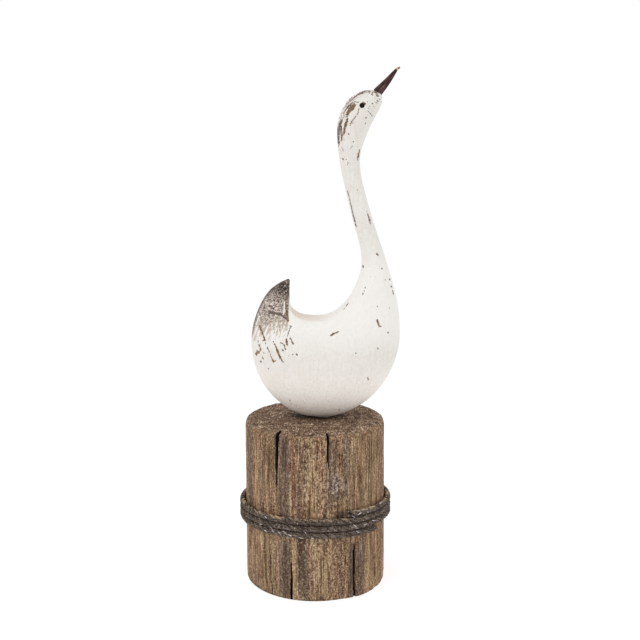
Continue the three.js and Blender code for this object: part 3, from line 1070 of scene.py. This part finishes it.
# %% The marks in the paint
# Each mark: half its width, and the points that it runs through as (x, height above the post),
# all in millimetres. Bare marks show the wood, dark ones hold dirt.
BARE_NEAR = [
    (0.55, (-22.3, 97.5), (-21.8, 90)),
    (0.85, (-21.8, 90), (-21.2, 83.6), (-20.3, 79.4)),
    (0.6, (-42.7, 75), (-40.8, 71), (-39, 67), (-38, 64.8)),
    (0.5, (-39.8, 63.8), (-38, 64.8)),
    (0.24, (-37.5, 62.3), (-34.9, 57), (-32.6, 51.2)),
    (0.55, (-32.3, 50.2), (-31.2, 48.6), (-29.6, 49.7)),
    (0.4, (-30.3, 62.3), (-28.6, 58.6)),
    (0.85, (-28.5, 58.5), (-27.1, 54.8), (-25.8, 52)),
    (0.5, (-25.8, 52), (-23.8, 48.8)),
    (0.3, (-43.5, 63.2), (-43.4, 62.2)),
    (0.6, (-42.6, 60.3), (-41.8, 57)),
    (0.75, (-44.2, 54.8), (-45.2, 51.6)),
    (0.5, (-42.7, 55.4), (-42.9, 53.6)),
    (0.35, (-41, 57.2), (-42.4, 55)),
    (0.22, (-40.3, 52), (-39.4, 49.8)),
    (0.45, (-25.7, 63.4), (-24, 63)),
    (0.55, (-23.2, 62.1), (-22, 58.9)),
    (0.65, (-21.4, 66.2), (-20.7, 62.4)),
    (0.3, (-18.4, 67.2), (-17.2, 64.9)),
    (0.55, (-17.2, 64.9), (-16.2, 63.2)),
    (0.5, (12.4, 68.9), (15, 70.4)),
    (0.32, (15, 70.4), (18.6, 72.1)),
    (0.6, (47.3, 80.3), (48.4, 77.4), (49.1, 75.4)),
    (0.5, (49.1, 75.2), (50.6, 75.4)),
    (0.55, (40.6, 36.4), (40.9, 34.6)),
    (0.35, (60, 101), (60.6, 98.2)),
    (0.3, (33.9, 208), (33.2, 204.5)),
    (0.5, (33.2, 204.5), (32.6, 201.4)),
    (0.42, (40.3, 159.6), (42.4, 152.4)),
    (0.6, (47.4, 129.5), (48.2, 128.6)),
    (1.4, (29.6, 240.2), (28.4, 238.9)),
    (1.8, (28, 238.6), (26.8, 237.2)),
    (1.4, (26.1, 236.2), (24.7, 234)),
    (0.75, (24.5, 233.8), (24.1, 231.8)),
    (0.95, (24.5, 229.6), (22.8, 224.6)),
    (0.8, (22.7, 224.1), (21.8, 219.2)),
    (0.5, (21.8, 219.2), (20.4, 217.8), (20.5, 214.8)),
    (0.28, (32.8, 237.2), (32.6, 234.6)),
    (0.2, (32.6, 234.6), (31.3, 232.6), (29.4, 230), (27.6, 228.2)),
    (0.4, (27.5, 228.1), (28.3, 226.8), (29.2, 227.2)),
    (0.3, (26.8, 226.8), (26.6, 225.2)),
    (0.7, (36.1, 242), (37.6, 240.9)),
    (0.4, (40.6, 250.6), (40.9, 248.6)),
    (0.4, (43, 249.4), (43, 247.6)),
    (0.4, (46.4, 247.7), (47.3, 246.9)),
]
DARK_NEAR = [
    (1.3, (-34.5, 85), (-31.4, 84.6)),
    (0.9, (-31.4, 84.6), (-26, 83.7)),
    (0.7, (-26, 83.7), (-23.6, 82), (-21.6, 80.6)),
    (0.55, (-18.3, 75.6), (-18, 75.3)),
    (0.16, (-18.6, 74.6), (-20.6, 68.2)),
    (0.4, (-23, 68.7), (-22.8, 68.4)),
    (0.4, (-31.4, 64), (-31.2, 63.7)),
    (0.4, (-24.2, 58.4), (-23.9, 58)),
    (0.25, (-19.8, 54.4), (-19.5, 54.2)),
    (0.35, (-16.5, 55.2), (-16.1, 55.1)),
    (0.5, (-13.4, 55.2), (-13.1, 54.7)),
    (0.3, (-14, 64.4), (-13.7, 64)),
    (0.3, (-17.9, 14.3), (-17.5, 13.9)),
    (0.32, (-14.4, 12.8), (-14.1, 12.5)),
    (0.22, (-19.4, 17.6), (-19, 16.8)),
    (0.28, (-11.7, 10), (-11.5, 9.8)),
    (0.35, (14.9, 9.5), (15.1, 9.4)),
    (0.4, (18.7, 8.8), (18.9, 8.7)),
    (0.2, (-38.8, 54.8), (-38.6, 54.4)),
    (0.6, (-41.5, 47.2), (-41.1, 46.8)),
    (0.4, (-35.5, 42.8), (-35.2, 42.6)),
    (0.35, (31, 56.2), (31.3, 56)),
    (0.35, (48, 58.8), (48.2, 58.5)),
    (0.45, (55.8, 70.2), (56.1, 69.8)),
    (0.5, (37.1, 119.6), (37.3, 118.8)),
    (0.45, (51.1, 118.4), (51.4, 118)),
    (0.28, (54, 109.9), (54.2, 109.6)),
    (0.38, (57.4, 109.6), (57.7, 109.3)),
    (0.45, (58.9, 104.3), (59.2, 103.6)),
    (0.24, (42.4, 112), (42.6, 111.8)),
    (0.26, (38.8, 104.4), (38.6, 103.6)),
    (0.26, (37.9, 101.8), (37.8, 101.3)),
    (0.42, (37, 99.6), (36.8, 98.8)),
    (0.24, (47.6, 90.4), (47.7, 90.2)),
    (0.24, (57, 88.5), (57.2, 88.3)),
    (0.14, (22, 86.8), (26.4, 91.8)),
    (0.35, (29.8, 242.4), (32.8, 242.3)),
    (0.4, (28.4, 242), (25.6, 239.4), (23, 236.6)),
    (0.38, (35.8, 249.4), (32.4, 247.8), (29.4, 246)),
    (0.3, (29.4, 246), (26.4, 243.4)),
    (0.36, (20.1, 225), (19.6, 220.4), (20.2, 217.8)),
    (0.26, (41, 239.4), (41.2, 239)),
    (0.18, (39.8, 235.9), (41.8, 233.8)),
    (0.26, (42.6, 232.6), (42.8, 232.3)),
    (0.34, (38.3, 231), (38.6, 230.6)),
    (0.3, (38, 226.9), (37.9, 226.4)),
    (0.26, (39.2, 242.7), (39.4, 242.5)),
    (0.24, (44.5, 242.5), (44.7, 242.3)),
    (0.22, (25.5, 219.2), (25.7, 218.8)),
    (0.26, (29, 213.6), (29.2, 213.4)),
    (0.3, (28.1, 210), (27.7, 209.4)),
    (0.24, (27, 208.8), (26.9, 208.6)),
    (0.22, (42.6, 241.3), (43.4, 240.9)),
    (0.2, (40.1, 238), (40.6, 237)),
    (0.24, (44.1, 239.4), (44.5, 238.8)),
    (0.2, (45.3, 242.2), (46.5, 241.6)),
    (0.22, (46.4, 243.9), (47.3, 243.1)),
    (0.26, (48.3, 244.9), (48.8, 244.4)),
    (0.2, (44.7, 245.4), (45.6, 244.8)),
    (0.28, (45.7, 248.4), (45.9, 247.4)),
    (0.45, (21.2, 200.7), (21.6, 200.3)),
    (0.2, (24.9, 198.1), (25.3, 197.6)),
    (0.18, (24.6, 196.8), (24.8, 196.2)),
    (0.24, (32.4, 200.4), (32.6, 199.8)),
    (0.26, (23.8, 200.5), (24, 200.3)),
    (0.3, (32, 177.6), (32.3, 177.2)),
    (0.22, (39.2, 161.7), (39.4, 161.3)),
    (0.35, (25.1, 176.6), (27.9, 165), (31.8, 149.4)),
]
KEPT_NEAR = [  # streaks of clean paint in the wash on the tail
    (0.5, (-35.8, 74.6), (-38.4, 68)),
    (0.4, (-42.6, 81.2), (-45.3, 75)),
    (0.5, (-43.8, 73.4), (-46.8, 66.6)),
    (0.5, (-19.3, 77.4), (-20.3, 70.6)),
    (0.5, (-23.3, 92), (-23.5, 84.6)),
    (0.3, (-32.7, 77), (-32.3, 71)),
    (0.4, (-23.5, 75), (-25.9, 68.2)),
    (0.3, (-29.4, 77), (-29.7, 70.4)),
]
BARE_FAR = [
    (0.6, (-21.6, 96), (-21, 81)),
    (0.6, (-40, 72), (-38, 66), (-36.6, 61)),
    (0.6, (-33, 64), (-29.6, 54)),
    (0.5, (-44, 62), (-42.6, 54)),
    (0.5, (-26, 60), (-23.4, 54)),
    (0.35, (-4, 40), (2, 42)),
    (0.45, (44, 60), (45, 56), (46, 53)),
    (0.25, (27, 88), (31, 95)),
    (1.2, (28, 239), (24.8, 234)),
    (0.7, (24.6, 229), (22.6, 221)),
    (0.35, (33, 190), (32, 184)),
]
DARK_FAR = [
    (0.7, (-34, 84.4), (-23, 82)),
    (0.35, (50, 110), (51, 108)),
    (0.35, (30, 150), (30.4, 149)),
    (0.4, (27, 242), (22.8, 237)),
    (0.35, (40, 234), (40.6, 233)),
    (0.4, (-12, 52), (-11.6, 51.6)),
]
KEPT_FAR = [
    (0.4, (-37, 77), (-39, 68)),
    (0.4, (-30, 77), (-30, 68)),
    (0.4, (-24, 75), (-22.6, 67)),
]
# Two lines of the outline, which the paint's wash follows.
NAPE = [
    (19.2, 206), (17.7, 213), (17.2, 225), (19.4, 236), (24, 244), (30, 249), (37, 252), (46, 252),
]
TAIL_BACK = [(-20.6, 109.3), (-27.8, 105.8), (-35.6, 99.8), (-42, 90), (-46.4, 80), (-49.4, 66)]
FAR_OFF = 6  # millimetres: further than this, a mark is not looked at
FINER_WITHIN = (0.8, 0.5)  # millimetres outside a mark, for each halving of the mesh
PAINT_THICKNESS = 0.16 * MM
PAINT_EDGE = (-0.25, 0.1)  # millimetres outside a mark: the paint's step lies between these
RAGGED = (0.5, 0.9 * MM)  # how far the step strays, in millimetres, and in what lumps


def boxed(marks):
    """Each mark as the middle of its box, how far it reaches, half its width, and its line."""
    shapes = []
    for half_width, *points in marks:
        line = [Vector(point) for point in points]
        middle = (line[0] + line[-1]) / 2
        reach = max((point - middle).length for point in line) + half_width + FAR_OFF
        shapes.append((middle, reach, half_width, line))
    return shapes


def side_view(place):
    """A point as x and height above the post, in millimetres."""
    return Vector((place.x / MM, (place.z - SEAT_HEIGHT) / MM))


def from_line(point, line):
    """How far a point of the side view lies from a line, and how far along it, in millimetres."""
    nearest = (FAR_OFF, 0)
    walked = 0
    for start, end in zip(line, line[1:]):
        along = end - start
        share = min(1, max(0, (point - start).dot(along) / along.length_squared))
        distance = (point - start - along * share).length
        nearest = min(nearest, (distance, walked + share * along.length))
        walked += along.length
    return nearest


def outside(place, shapes):
    """How many millimetres a point lies outside the nearest mark. It is negative inside one."""
    point = side_view(place)
    nearest = FAR_OFF
    for middle, reach, half_width, line in shapes:
        if (point - middle).length < reach:
            nearest = min(nearest, from_line(point, line)[0] - half_width)
    return nearest


print(len(BARE_NEAR + DARK_NEAR + KEPT_NEAR), "marks on the near side,",
      len(BARE_FAR + DARK_FAR + KEPT_FAR), "on the far side")

# %% Finer mesh and a real step at the marks
NEAR = {"bare": boxed(BARE_NEAR), "dark": boxed(DARK_NEAR), "kept": boxed(KEPT_NEAR)}
FAR = {"bare": boxed(BARE_FAR), "dark": boxed(DARK_FAR), "kept": boxed(KEPT_FAR)}
nape_line = [Vector(point) for point in NAPE]
tail_line = [Vector(point) for point in TAIL_BACK]


def side_of(place):
    return NEAR if place.y < 0 else FAR


for within in FINER_WITHIN:
    close = {vertex for vertex in swan_bm.verts
             if min(outside(vertex.co, shapes) for shapes in side_of(vertex.co).values()) < within}
    edges = [edge for edge in swan_bm.edges if not close.isdisjoint(edge.verts)]
    bmesh.ops.subdivide_edges(swan_bm, edges=edges, cuts=1, use_grid_fill=True)

marks = {name: swan_bm.verts.layers.float.new(name)
         for name in ("bare", "dark", "kept", "nape", "along_nape", "tail_back")}
swan_bm.normal_update()
steps = []
for vertex in swan_bm.verts:
    side = side_of(vertex.co)
    for name, shapes in side.items():
        vertex[marks[name]] = outside(vertex.co, shapes)
    seen = side_view(vertex.co)
    vertex[marks["nape"]], vertex[marks["along_nape"]] = from_line(seen, nape_line)
    vertex[marks["tail_back"]] = from_line(seen, tail_line)[0]
    frayed = vertex[marks["bare"]] + RAGGED[0] * rough(vertex.co, RAGGED[1])
    steps.append(vertex.normal * (PAINT_THICKNESS * (1 - smooth(*PAINT_EDGE, frayed))))
for vertex, step in zip(swan_bm.verts, steps):
    vertex.co -= step
print("the swan has", len(swan_bm.verts), "points after", len(FINER_WITHIN), "finer passes")

# %% [markdown]
# ## Worn paint
# The paint is an off-white with slow clouds and brush lines. A grey-brown wash darkens the tail
# and the crown. It ends in streaks, because it was wiped off along the grain, so the height at
# which it ends is shifted by a noise that is stretched along the tail. The carved flat keeps a
# warm tint, and fine dark specks lie everywhere. Places are worked out in millimetres, as x and
# the height above the post, and each zone below says where it begins and where it is full.

# %% Worn paint
WASH_CORNER = (-20, 74.5)  # where the wash on the tail ends at the inner edge
WASH_LEANS = 0.3  # it ends lower towards the tail's back
WASH_STRAYS = (60, 14)  # how far its end is shifted by the streaks and by fine noise
WASH_END = (-5, 6)
WASH_PALES = (16, 0)
TIP_STRAYS = 26
STREAKS_LEAN = math.radians(-13)
# Zones by height above the post.
PAINTED_LIGHT_BAND = (48, 76)
PAINTED_LIGHT_ENDS = (150, 110)
LOW = (60, 4)
FACE = (222, 236)
TIP = (90.7, 97.7)
FLAT_STAYS_CLEAN = (108.7, 90.7)
DARK_TIP = (82, 98)
BLACK_TIP = (89, 103)
CROWN = (203, 213)
# Zones along x.
TANNED = (16, -8)
IN_FRONT = (34, 42)
OFF_THE_FLAT = (-19.5, -20.6)
BY_THE_TIP = (-8, -17)
# Zones by the distance from the two lines of the outline.
CROWN_WIDTH = (4.2, 1.8)
BACK_WIDTH = (2.2, 0.5)
CROWN_LINES = (0.11, 200)  # turns: for each millimetre along the nape, for each metre across it
CROWN_LINE_SIZE = 1.25


def worn_paint():
    paint = Finish("worn white paint")
    x = paint.axis("X") * (1 / MM)
    up = paint.axis("Z") * (1 / MM) - SEAT_HEIGHT / MM
    inner = paint.attribute("inner_face")
    ragged = paint.noise(1.4 * MM, detail=4, roughness=0.7)
    fine = paint.noise(0.8 * MM, detail=3, roughness=0.7)
    chunk = paint.noise(2.6 * MM, detail=3)
    cloud = paint.noise(16 * MM, detail=4)
    streak = paint.noise(1.15 * MM, (1, 1, 11), (0, STREAKS_LEAN, 0), detail=5, roughness=0.65)
    brush = paint.noise(1.3 * MM, (1, 1, 14), detail=3)

    white = paint.ramp(
        0.15 * cloud + 0.2 * chunk + 0.4 * fine + 0.25 * brush,
        (0.4, 206, 200, 193),
        (0.5, 216, 212, 206),
        (0.6, 223, 221, 216),
    )
    # Across the upper body the paint is made whiter: painted light from above.
    painted_light = paint.step(up, *PAINTED_LIGHT_BAND) * paint.step(up, *PAINTED_LIGHT_ENDS)
    white = paint.blend(white, colour(232, 230, 227), 0.55 * painted_light)
    # Low on the body the paint is made lighter: painted light that stands in for light from below.
    low = paint.step(up, *LOW)
    tint = paint.blend(white, colour(243, 236, 229), 0.8 * low)
    tan = inner * paint.step(x, *TANNED, 0.1, 0.85)
    tan = tan * paint.step(chunk + ragged, 0.8, 1.15, 0.45, 1)
    tint = paint.blend(tint, colour(210, 188, 168), tan)
    sand = paint.step(fine, 0.5, 0.66) * 0.12 + paint.step(ragged, 0.5, 0.64) * (0.32 * low)
    tint = paint.blend(tint, colour(160, 142, 126), sand)
    face = paint.step(x, *IN_FRONT) * paint.step(up, *FACE)
    speck = paint.step(fine + 0.05 * face, 0.65, 0.71)
    speck = speck * paint.step(cloud + 0.2 * face, 0.42, 0.62, 0.3, 1)
    tint = paint.blend(tint, colour(138, 120, 104), 0.6 * speck)

    into_tail = up - WASH_CORNER[1] - WASH_LEANS * (x - WASH_CORNER[0])
    strays = (streak - 0.5) * WASH_STRAYS[0] + (ragged - 0.5) * WASH_STRAYS[1]
    wash = paint.step(into_tail + strays, *WASH_END)
    near_the_tip = paint.step(up, *TIP) * paint.step(x, *BY_THE_TIP)
    wash = wash * paint.larger(paint.step(x, *OFF_THE_FLAT), near_the_tip)
    wash = wash * (1 - inner * paint.step(up, *FLAT_STAYS_CLEAN))
    kept = paint.step(paint.attribute("kept") + (ragged - 0.5) * 1.2, 0.25, -0.15)
    wash = wash * (1 - 0.85 * kept)
    salt = 0.3 * ragged + 0.55 * fine + 0.15 * chunk
    wash_tint = paint.ramp(
        salt,
        (0.42, 40, 30, 25),
        (0.47, 112, 98, 88),
        (0.52, 178, 166, 155),
        (0.58, 220, 212, 202),
    )
    pales = paint.step(into_tail, *WASH_PALES)
    wash_tint = paint.blend(wash_tint, colour(198, 182, 166), 0.6 * pales)
    tip_tint = paint.ramp(
        salt,
        (0.45, 30, 21, 17),
        (0.5, 66, 51, 42),
        (0.545, 112, 96, 85),
        (0.585, 216, 203, 190),
    )
    to_tip = up + 0.9 * (x - WASH_CORNER[0]) + (chunk + cloud - 1) * TIP_STRAYS
    wash_tint = paint.blend(wash_tint, tip_tint, paint.step(to_tip, *DARK_TIP))
    black = paint.step(to_tip, *BLACK_TIP) * paint.step(salt, 0.58, 0.52, 0, 0.75)
    wash_tint = paint.blend(wash_tint, colour(34, 25, 20), black)
    back = paint.step(paint.attribute("tail_back") + (ragged - 0.5) * 3, *BACK_WIDTH)
    wash_tint = paint.blend(wash_tint, colour(82, 67, 58), 0.7 * back)
    tint = paint.blend(tint, wash_tint, paint.step(wash * (0.5 + chunk), 0.05, 0.75))

    nape = paint.attribute("nape")
    nape_place = paint.node("CombineXYZ", {}, {
        "X": nape + chunk * 2,
        "Y": paint.attribute("along_nape") * CROWN_LINES[0],
        "Z": paint.axis("Y") * CROWN_LINES[1],
    })
    lines = paint.grains(nape_place, CROWN_LINE_SIZE, 3, 0.6)
    crown = paint.step(nape + (lines - 0.5) * 9 + (ragged - 0.5) * 2, *CROWN_WIDTH)
    crown = crown * paint.step(up, *CROWN)
    crown_tint = paint.ramp(
        0.65 * lines + 0.35 * ragged,
        (0.43, 64, 47, 38),
        (0.48, 116, 98, 87),
        (0.52, 180, 166, 156),
        (0.56, 226, 219, 212),
    )
    tint = paint.blend(tint, crown_tint, 0.92 * crown)

    fray = (chunk - 0.5) * 1.5 + (ragged - 0.5) * 1.9 + (fine - 0.5) * 1.2
    bare = paint.step(paint.attribute("bare") + fray, 0.1, -0.12)
    dark = paint.step(paint.attribute("dark") + 0.8 * fray, 0.16, -0.14)
    wood = paint.ramp(
        0.5 * streak + 0.5 * fine,
        (0.4, 78, 57, 41),
        (0.5, 122, 98, 73),
        (0.6, 160, 135, 106),
    )
    tint = paint.blend(tint, wood, bare)
    tint = paint.blend(tint, colour(78, 62, 52), 0.85 * dark)

    relief = 1 - 0.8 * paint.larger(bare, dark) + 0.15 * ragged + 0.1 * fine - 0.15 * wash
    paint.set(
        Base_Color=tint,
        Roughness=0.55 + 0.25 * bare + 0.1 * wash,
        Specular_IOR_Level=0.25,
        Normal=paint.bump(relief, 0.25 * MM),
    )
    return paint.material


dress("swan_dressed", swan_bm, [worn_paint()], "white_paint", "swan")

# %% [markdown]
# ## The bill
# The bill is a whittled spike of hardwood, stained dark, with its tip rubbed through to the
# bare wood. A spun profile gives the taper, and the tip's points slide sideways because the
# bare end leans forward. It sits on a peg in the head.

# %% The bill
BILL_SEAT = (47.0, 249.6)
BILL_DEGREES = 50
BILL_LENGTH = 22.4 * MM
BILL_TIP = 2.8 * MM
BILL_DROOP = 0.32
BILL_BOW = 0.35 * MM  # its lower side is the fuller one
BILL_BASE_RADIUS = 3.7 * MM
BILL_TIP_RADIUS = 1.05 * MM
BILL_FULLER = 0.2 * MM  # in the middle of its length
BILL_STEPS = 26
BILL_COLUMNS = 40
BILL_STARTS = 0.6 * MM  # above its rounded foot
FOOT_SHARE = 0.93  # its foot is this much narrower
TIP_SHARE = 0.92
TIP_CUTS = 6
PEG_RADIUS = 2.6 * MM
PEG_LENGTH = 5 * MM

taper = []
for step in range(BILL_STEPS + 1):
    share = step / BILL_STEPS
    radius = mix(BILL_BASE_RADIUS, BILL_TIP_RADIUS, share)
    radius += BILL_FULLER * math.sin(math.pi * share)
    taper.append((radius, mix(BILL_STARTS, BILL_LENGTH, share)))
end_radius = TIP_SHARE * BILL_TIP_RADIUS
bill_bm = chain([
    (0, -PEG_LENGTH),
    (PEG_RADIUS, -PEG_LENGTH),
    (PEG_RADIUS, 0),
    (FOOT_SHARE * BILL_BASE_RADIUS, 0),
    *taper,
    *arc(0, BILL_LENGTH + BILL_TIP - end_radius, end_radius, 0, 90, 5),
])
bill_bm.edges.ensure_lookup_table()
tip_side = bill_bm.edges[3 + len(taper)]
bmesh.ops.subdivide_edges(bill_bm, edges=[tip_side], cuts=TIP_CUTS)
turn(bill_bm, BILL_COLUMNS)
bill_turn = math.radians(90 - BILL_DEGREES)
bill_place = Matrix.Translation((BILL_SEAT[0] * MM, 0, SEAT_HEIGHT + BILL_SEAT[1] * MM))
bill_place = bill_place @ Matrix.Rotation(bill_turn, 4, "Y")
for vertex in bill_bm.verts:
    along = vertex.co.z
    if along > 0:
        whittled = 0.98 + 0.04 * rough(vertex.co, 3 * MM, (1, 1, 5))
        chipped = smooth(BILL_LENGTH - 0.4 * MM, BILL_LENGTH + 0.5 * MM, along)
        whittled -= chipped * (0.08 + 0.12 * rough(vertex.co, 1.1 * MM))
        vertex.co.x *= whittled
        vertex.co.y *= whittled
    arch = math.sin(math.pi * min(1, max(0, along / BILL_LENGTH)))
    vertex.co.x += BILL_BOW * arch + BILL_DROOP * max(0, along - BILL_LENGTH)
bmesh.ops.transform(bill_bm, matrix=bill_place, verts=bill_bm.verts)
print("the bill is", round((BILL_LENGTH + BILL_TIP) / MM, 1), "mm long")

# %% Stained hardwood
def stained_hardwood():
    stain = Finish("dark stained hardwood")
    stain.place = stain.node("Mapping", {"vector_type": "TEXTURE"}, {
        "Vector": stain.place, "Location": bill_place.translation, "Rotation": (0, bill_turn, 0),
    })
    along = stain.axis("Z")
    lower_side = stain.step(stain.axis("X"), -1.5 * MM, 2.5 * MM)
    grain = stain.noise(0.8 * MM, (1, 1, 10), detail=5, roughness=0.6)
    blotch = stain.noise(2.6 * MM, (1, 1, 2.5), detail=3)
    chip = stain.noise(0.9 * MM, detail=3)
    tint = stain.ramp(
        0.5 * grain + 0.5 * blotch,
        (0.38, 30, 19, 18),
        (0.48, 56, 37, 35),
        (0.56, 84, 62, 57),
        (0.66, 122, 102, 96),
    )
    tint = stain.blend(tint, colour(62, 33, 34), 0.45 * lower_side)
    chipped_at = along + (chip - 0.5) * (2.4 * MM)
    rubbed = stain.step(chipped_at, BILL_LENGTH - 0.4 * MM, BILL_LENGTH)
    light = stain.step(chipped_at, BILL_LENGTH + 1.1 * MM, BILL_LENGTH + 0.5 * MM)
    bare = stain.ramp(
        grain,
        (0.38, 92, 70, 48),
        (0.5, 134, 106, 74),
        (0.62, 168, 138, 100),
    )
    bare = stain.blend(bare, colour(226, 200, 162), 0.8 * light)
    stain.set(
        Base_Color=stain.blend(tint, bare, rubbed),
        Roughness=0.6,
        Specular_IOR_Level=0.15,
        Normal=stain.bump(grain, 0.2 * MM),
    )
    return stain.material


dress("bill_dressed", bill_bm, [stained_hardwood()], "dark_bill", "bill")

# %% [markdown]
# ## The eyes
# Each eye is a black glass bead pressed into a shallow socket. A spun arc gives the bead, a
# little flatter in front than a ball, and a glossy black with hardly any texture does the rest:
# what makes it an eye is the small reflection of the light in it.

# %% The eyes
EYE_PLACE = (35.3, 239.8)
EYE_SIDEWAYS = 9.0 * MM
EYE_RADIUS = 1.8 * MM
EYE_FLATTER = 0.92
EYE_STEPS = 16
EYE_COLUMNS = 32


def black_bead():
    bead = Finish("black bead")
    haze = bead.noise(0.8 * MM, detail=2)
    bead.set(
        Base_Color=colour(8, 7, 7),
        Roughness=bead.step(haze, 0.3, 0.7, 0.14, 0.26),
        Specular_IOR_Level=0.12,
    )
    return bead.material


bead_material = black_bead()
for name, side in (("eye_left", 1), ("eye_right", -1)):
    eye_bm = chain(arc(0, 0, EYE_RADIUS, -90, 90, EYE_STEPS))
    turn(eye_bm, EYE_COLUMNS)
    for vertex in eye_bm.verts:
        if vertex.co.z > 0:
            vertex.co.z *= EYE_FLATTER
    facing = Matrix.Rotation(-side * math.pi / 2, 4, "X")
    place = Matrix.Translation((
        EYE_PLACE[0] * MM, side * EYE_SIDEWAYS, SEAT_HEIGHT + EYE_PLACE[1] * MM,
    ))
    bmesh.ops.transform(eye_bm, matrix=place @ facing, verts=eye_bm.verts)
    dress(name + "_dressed", eye_bm, [bead_material], "black_bead", name)

# %% [markdown]
# ## Floor and light
# The photograph was taken on white, in light so soft that there are hardly any shadows. A
# white world gives most of that light, a large lamp from the front left gives the forms a
# little shape, and a weak one from the right keeps the far side open. The floor glows a little,
# as a white sheet does that is lit from below, and further off it is as white as the world.

# %% Floor and light
FLOOR_SIDE = 60
LAMPS = [  # name, place, size, watts
    ("key", Vector((-1.4, -1.0, 1.6)), 1.2, 11),
    ("fill", Vector((1.6, -0.7, 1.0)), 1.2, 4),
]
AIM = Vector((0, 0, 0.2))
WORLD_STRENGTH = 1.0
FLOOR_ALBEDO = 0.3
FLOOR_GLOW = 0.76
FLOOR_FADES = (0.25, 1.2)  # metres from the middle

bpy.context.scene.view_settings.view_transform = "Standard"
world = bpy.data.worlds.new("white studio")
world.use_nodes = True
world.node_tree.nodes["Background"].inputs["Color"].default_value = (1, 1, 1, 1)
world.node_tree.nodes["Background"].inputs["Strength"].default_value = WORLD_STRENGTH
bpy.context.scene.world = world

for name, place, size, watts in LAMPS:
    lamp_data = bpy.data.lights.new(name, "AREA")
    lamp_data.size = size
    lamp_data.energy = watts
    lamp = add_object(name, lamp_data)
    lamp.location = place
    lamp.rotation_mode = "QUATERNION"
    lamp.rotation_quaternion = (AIM - place).to_track_quat("-Z", "Y")
    print("the", name, "lamp gives", watts, "W")

floor_bm = bmesh.new()
bmesh.ops.create_grid(floor_bm, x_segments=1, y_segments=1, size=FLOOR_SIDE / 2)
floor_mesh = bpy.data.meshes.new("floor")
floor_bm.to_mesh(floor_mesh)
floor_bm.free()
floor = add_object("floor", floor_mesh)


def grey(value):
    return (value, value, value, 1)


floor_finish = Finish("pale floor")
away = floor_finish.step(floor_finish.length(floor_finish.place), *FLOOR_FADES)
floor_finish.set(
    Base_Color=floor_finish.blend(grey(FLOOR_ALBEDO), grey(0), away),
    Roughness=0.9,
    Specular_IOR_Level=0.0,
    Emission_Color=floor_finish.blend(grey(FLOOR_GLOW), grey(1), away),
    Emission_Strength=1.0,
)
floor_mesh.materials.append(floor_finish.material)
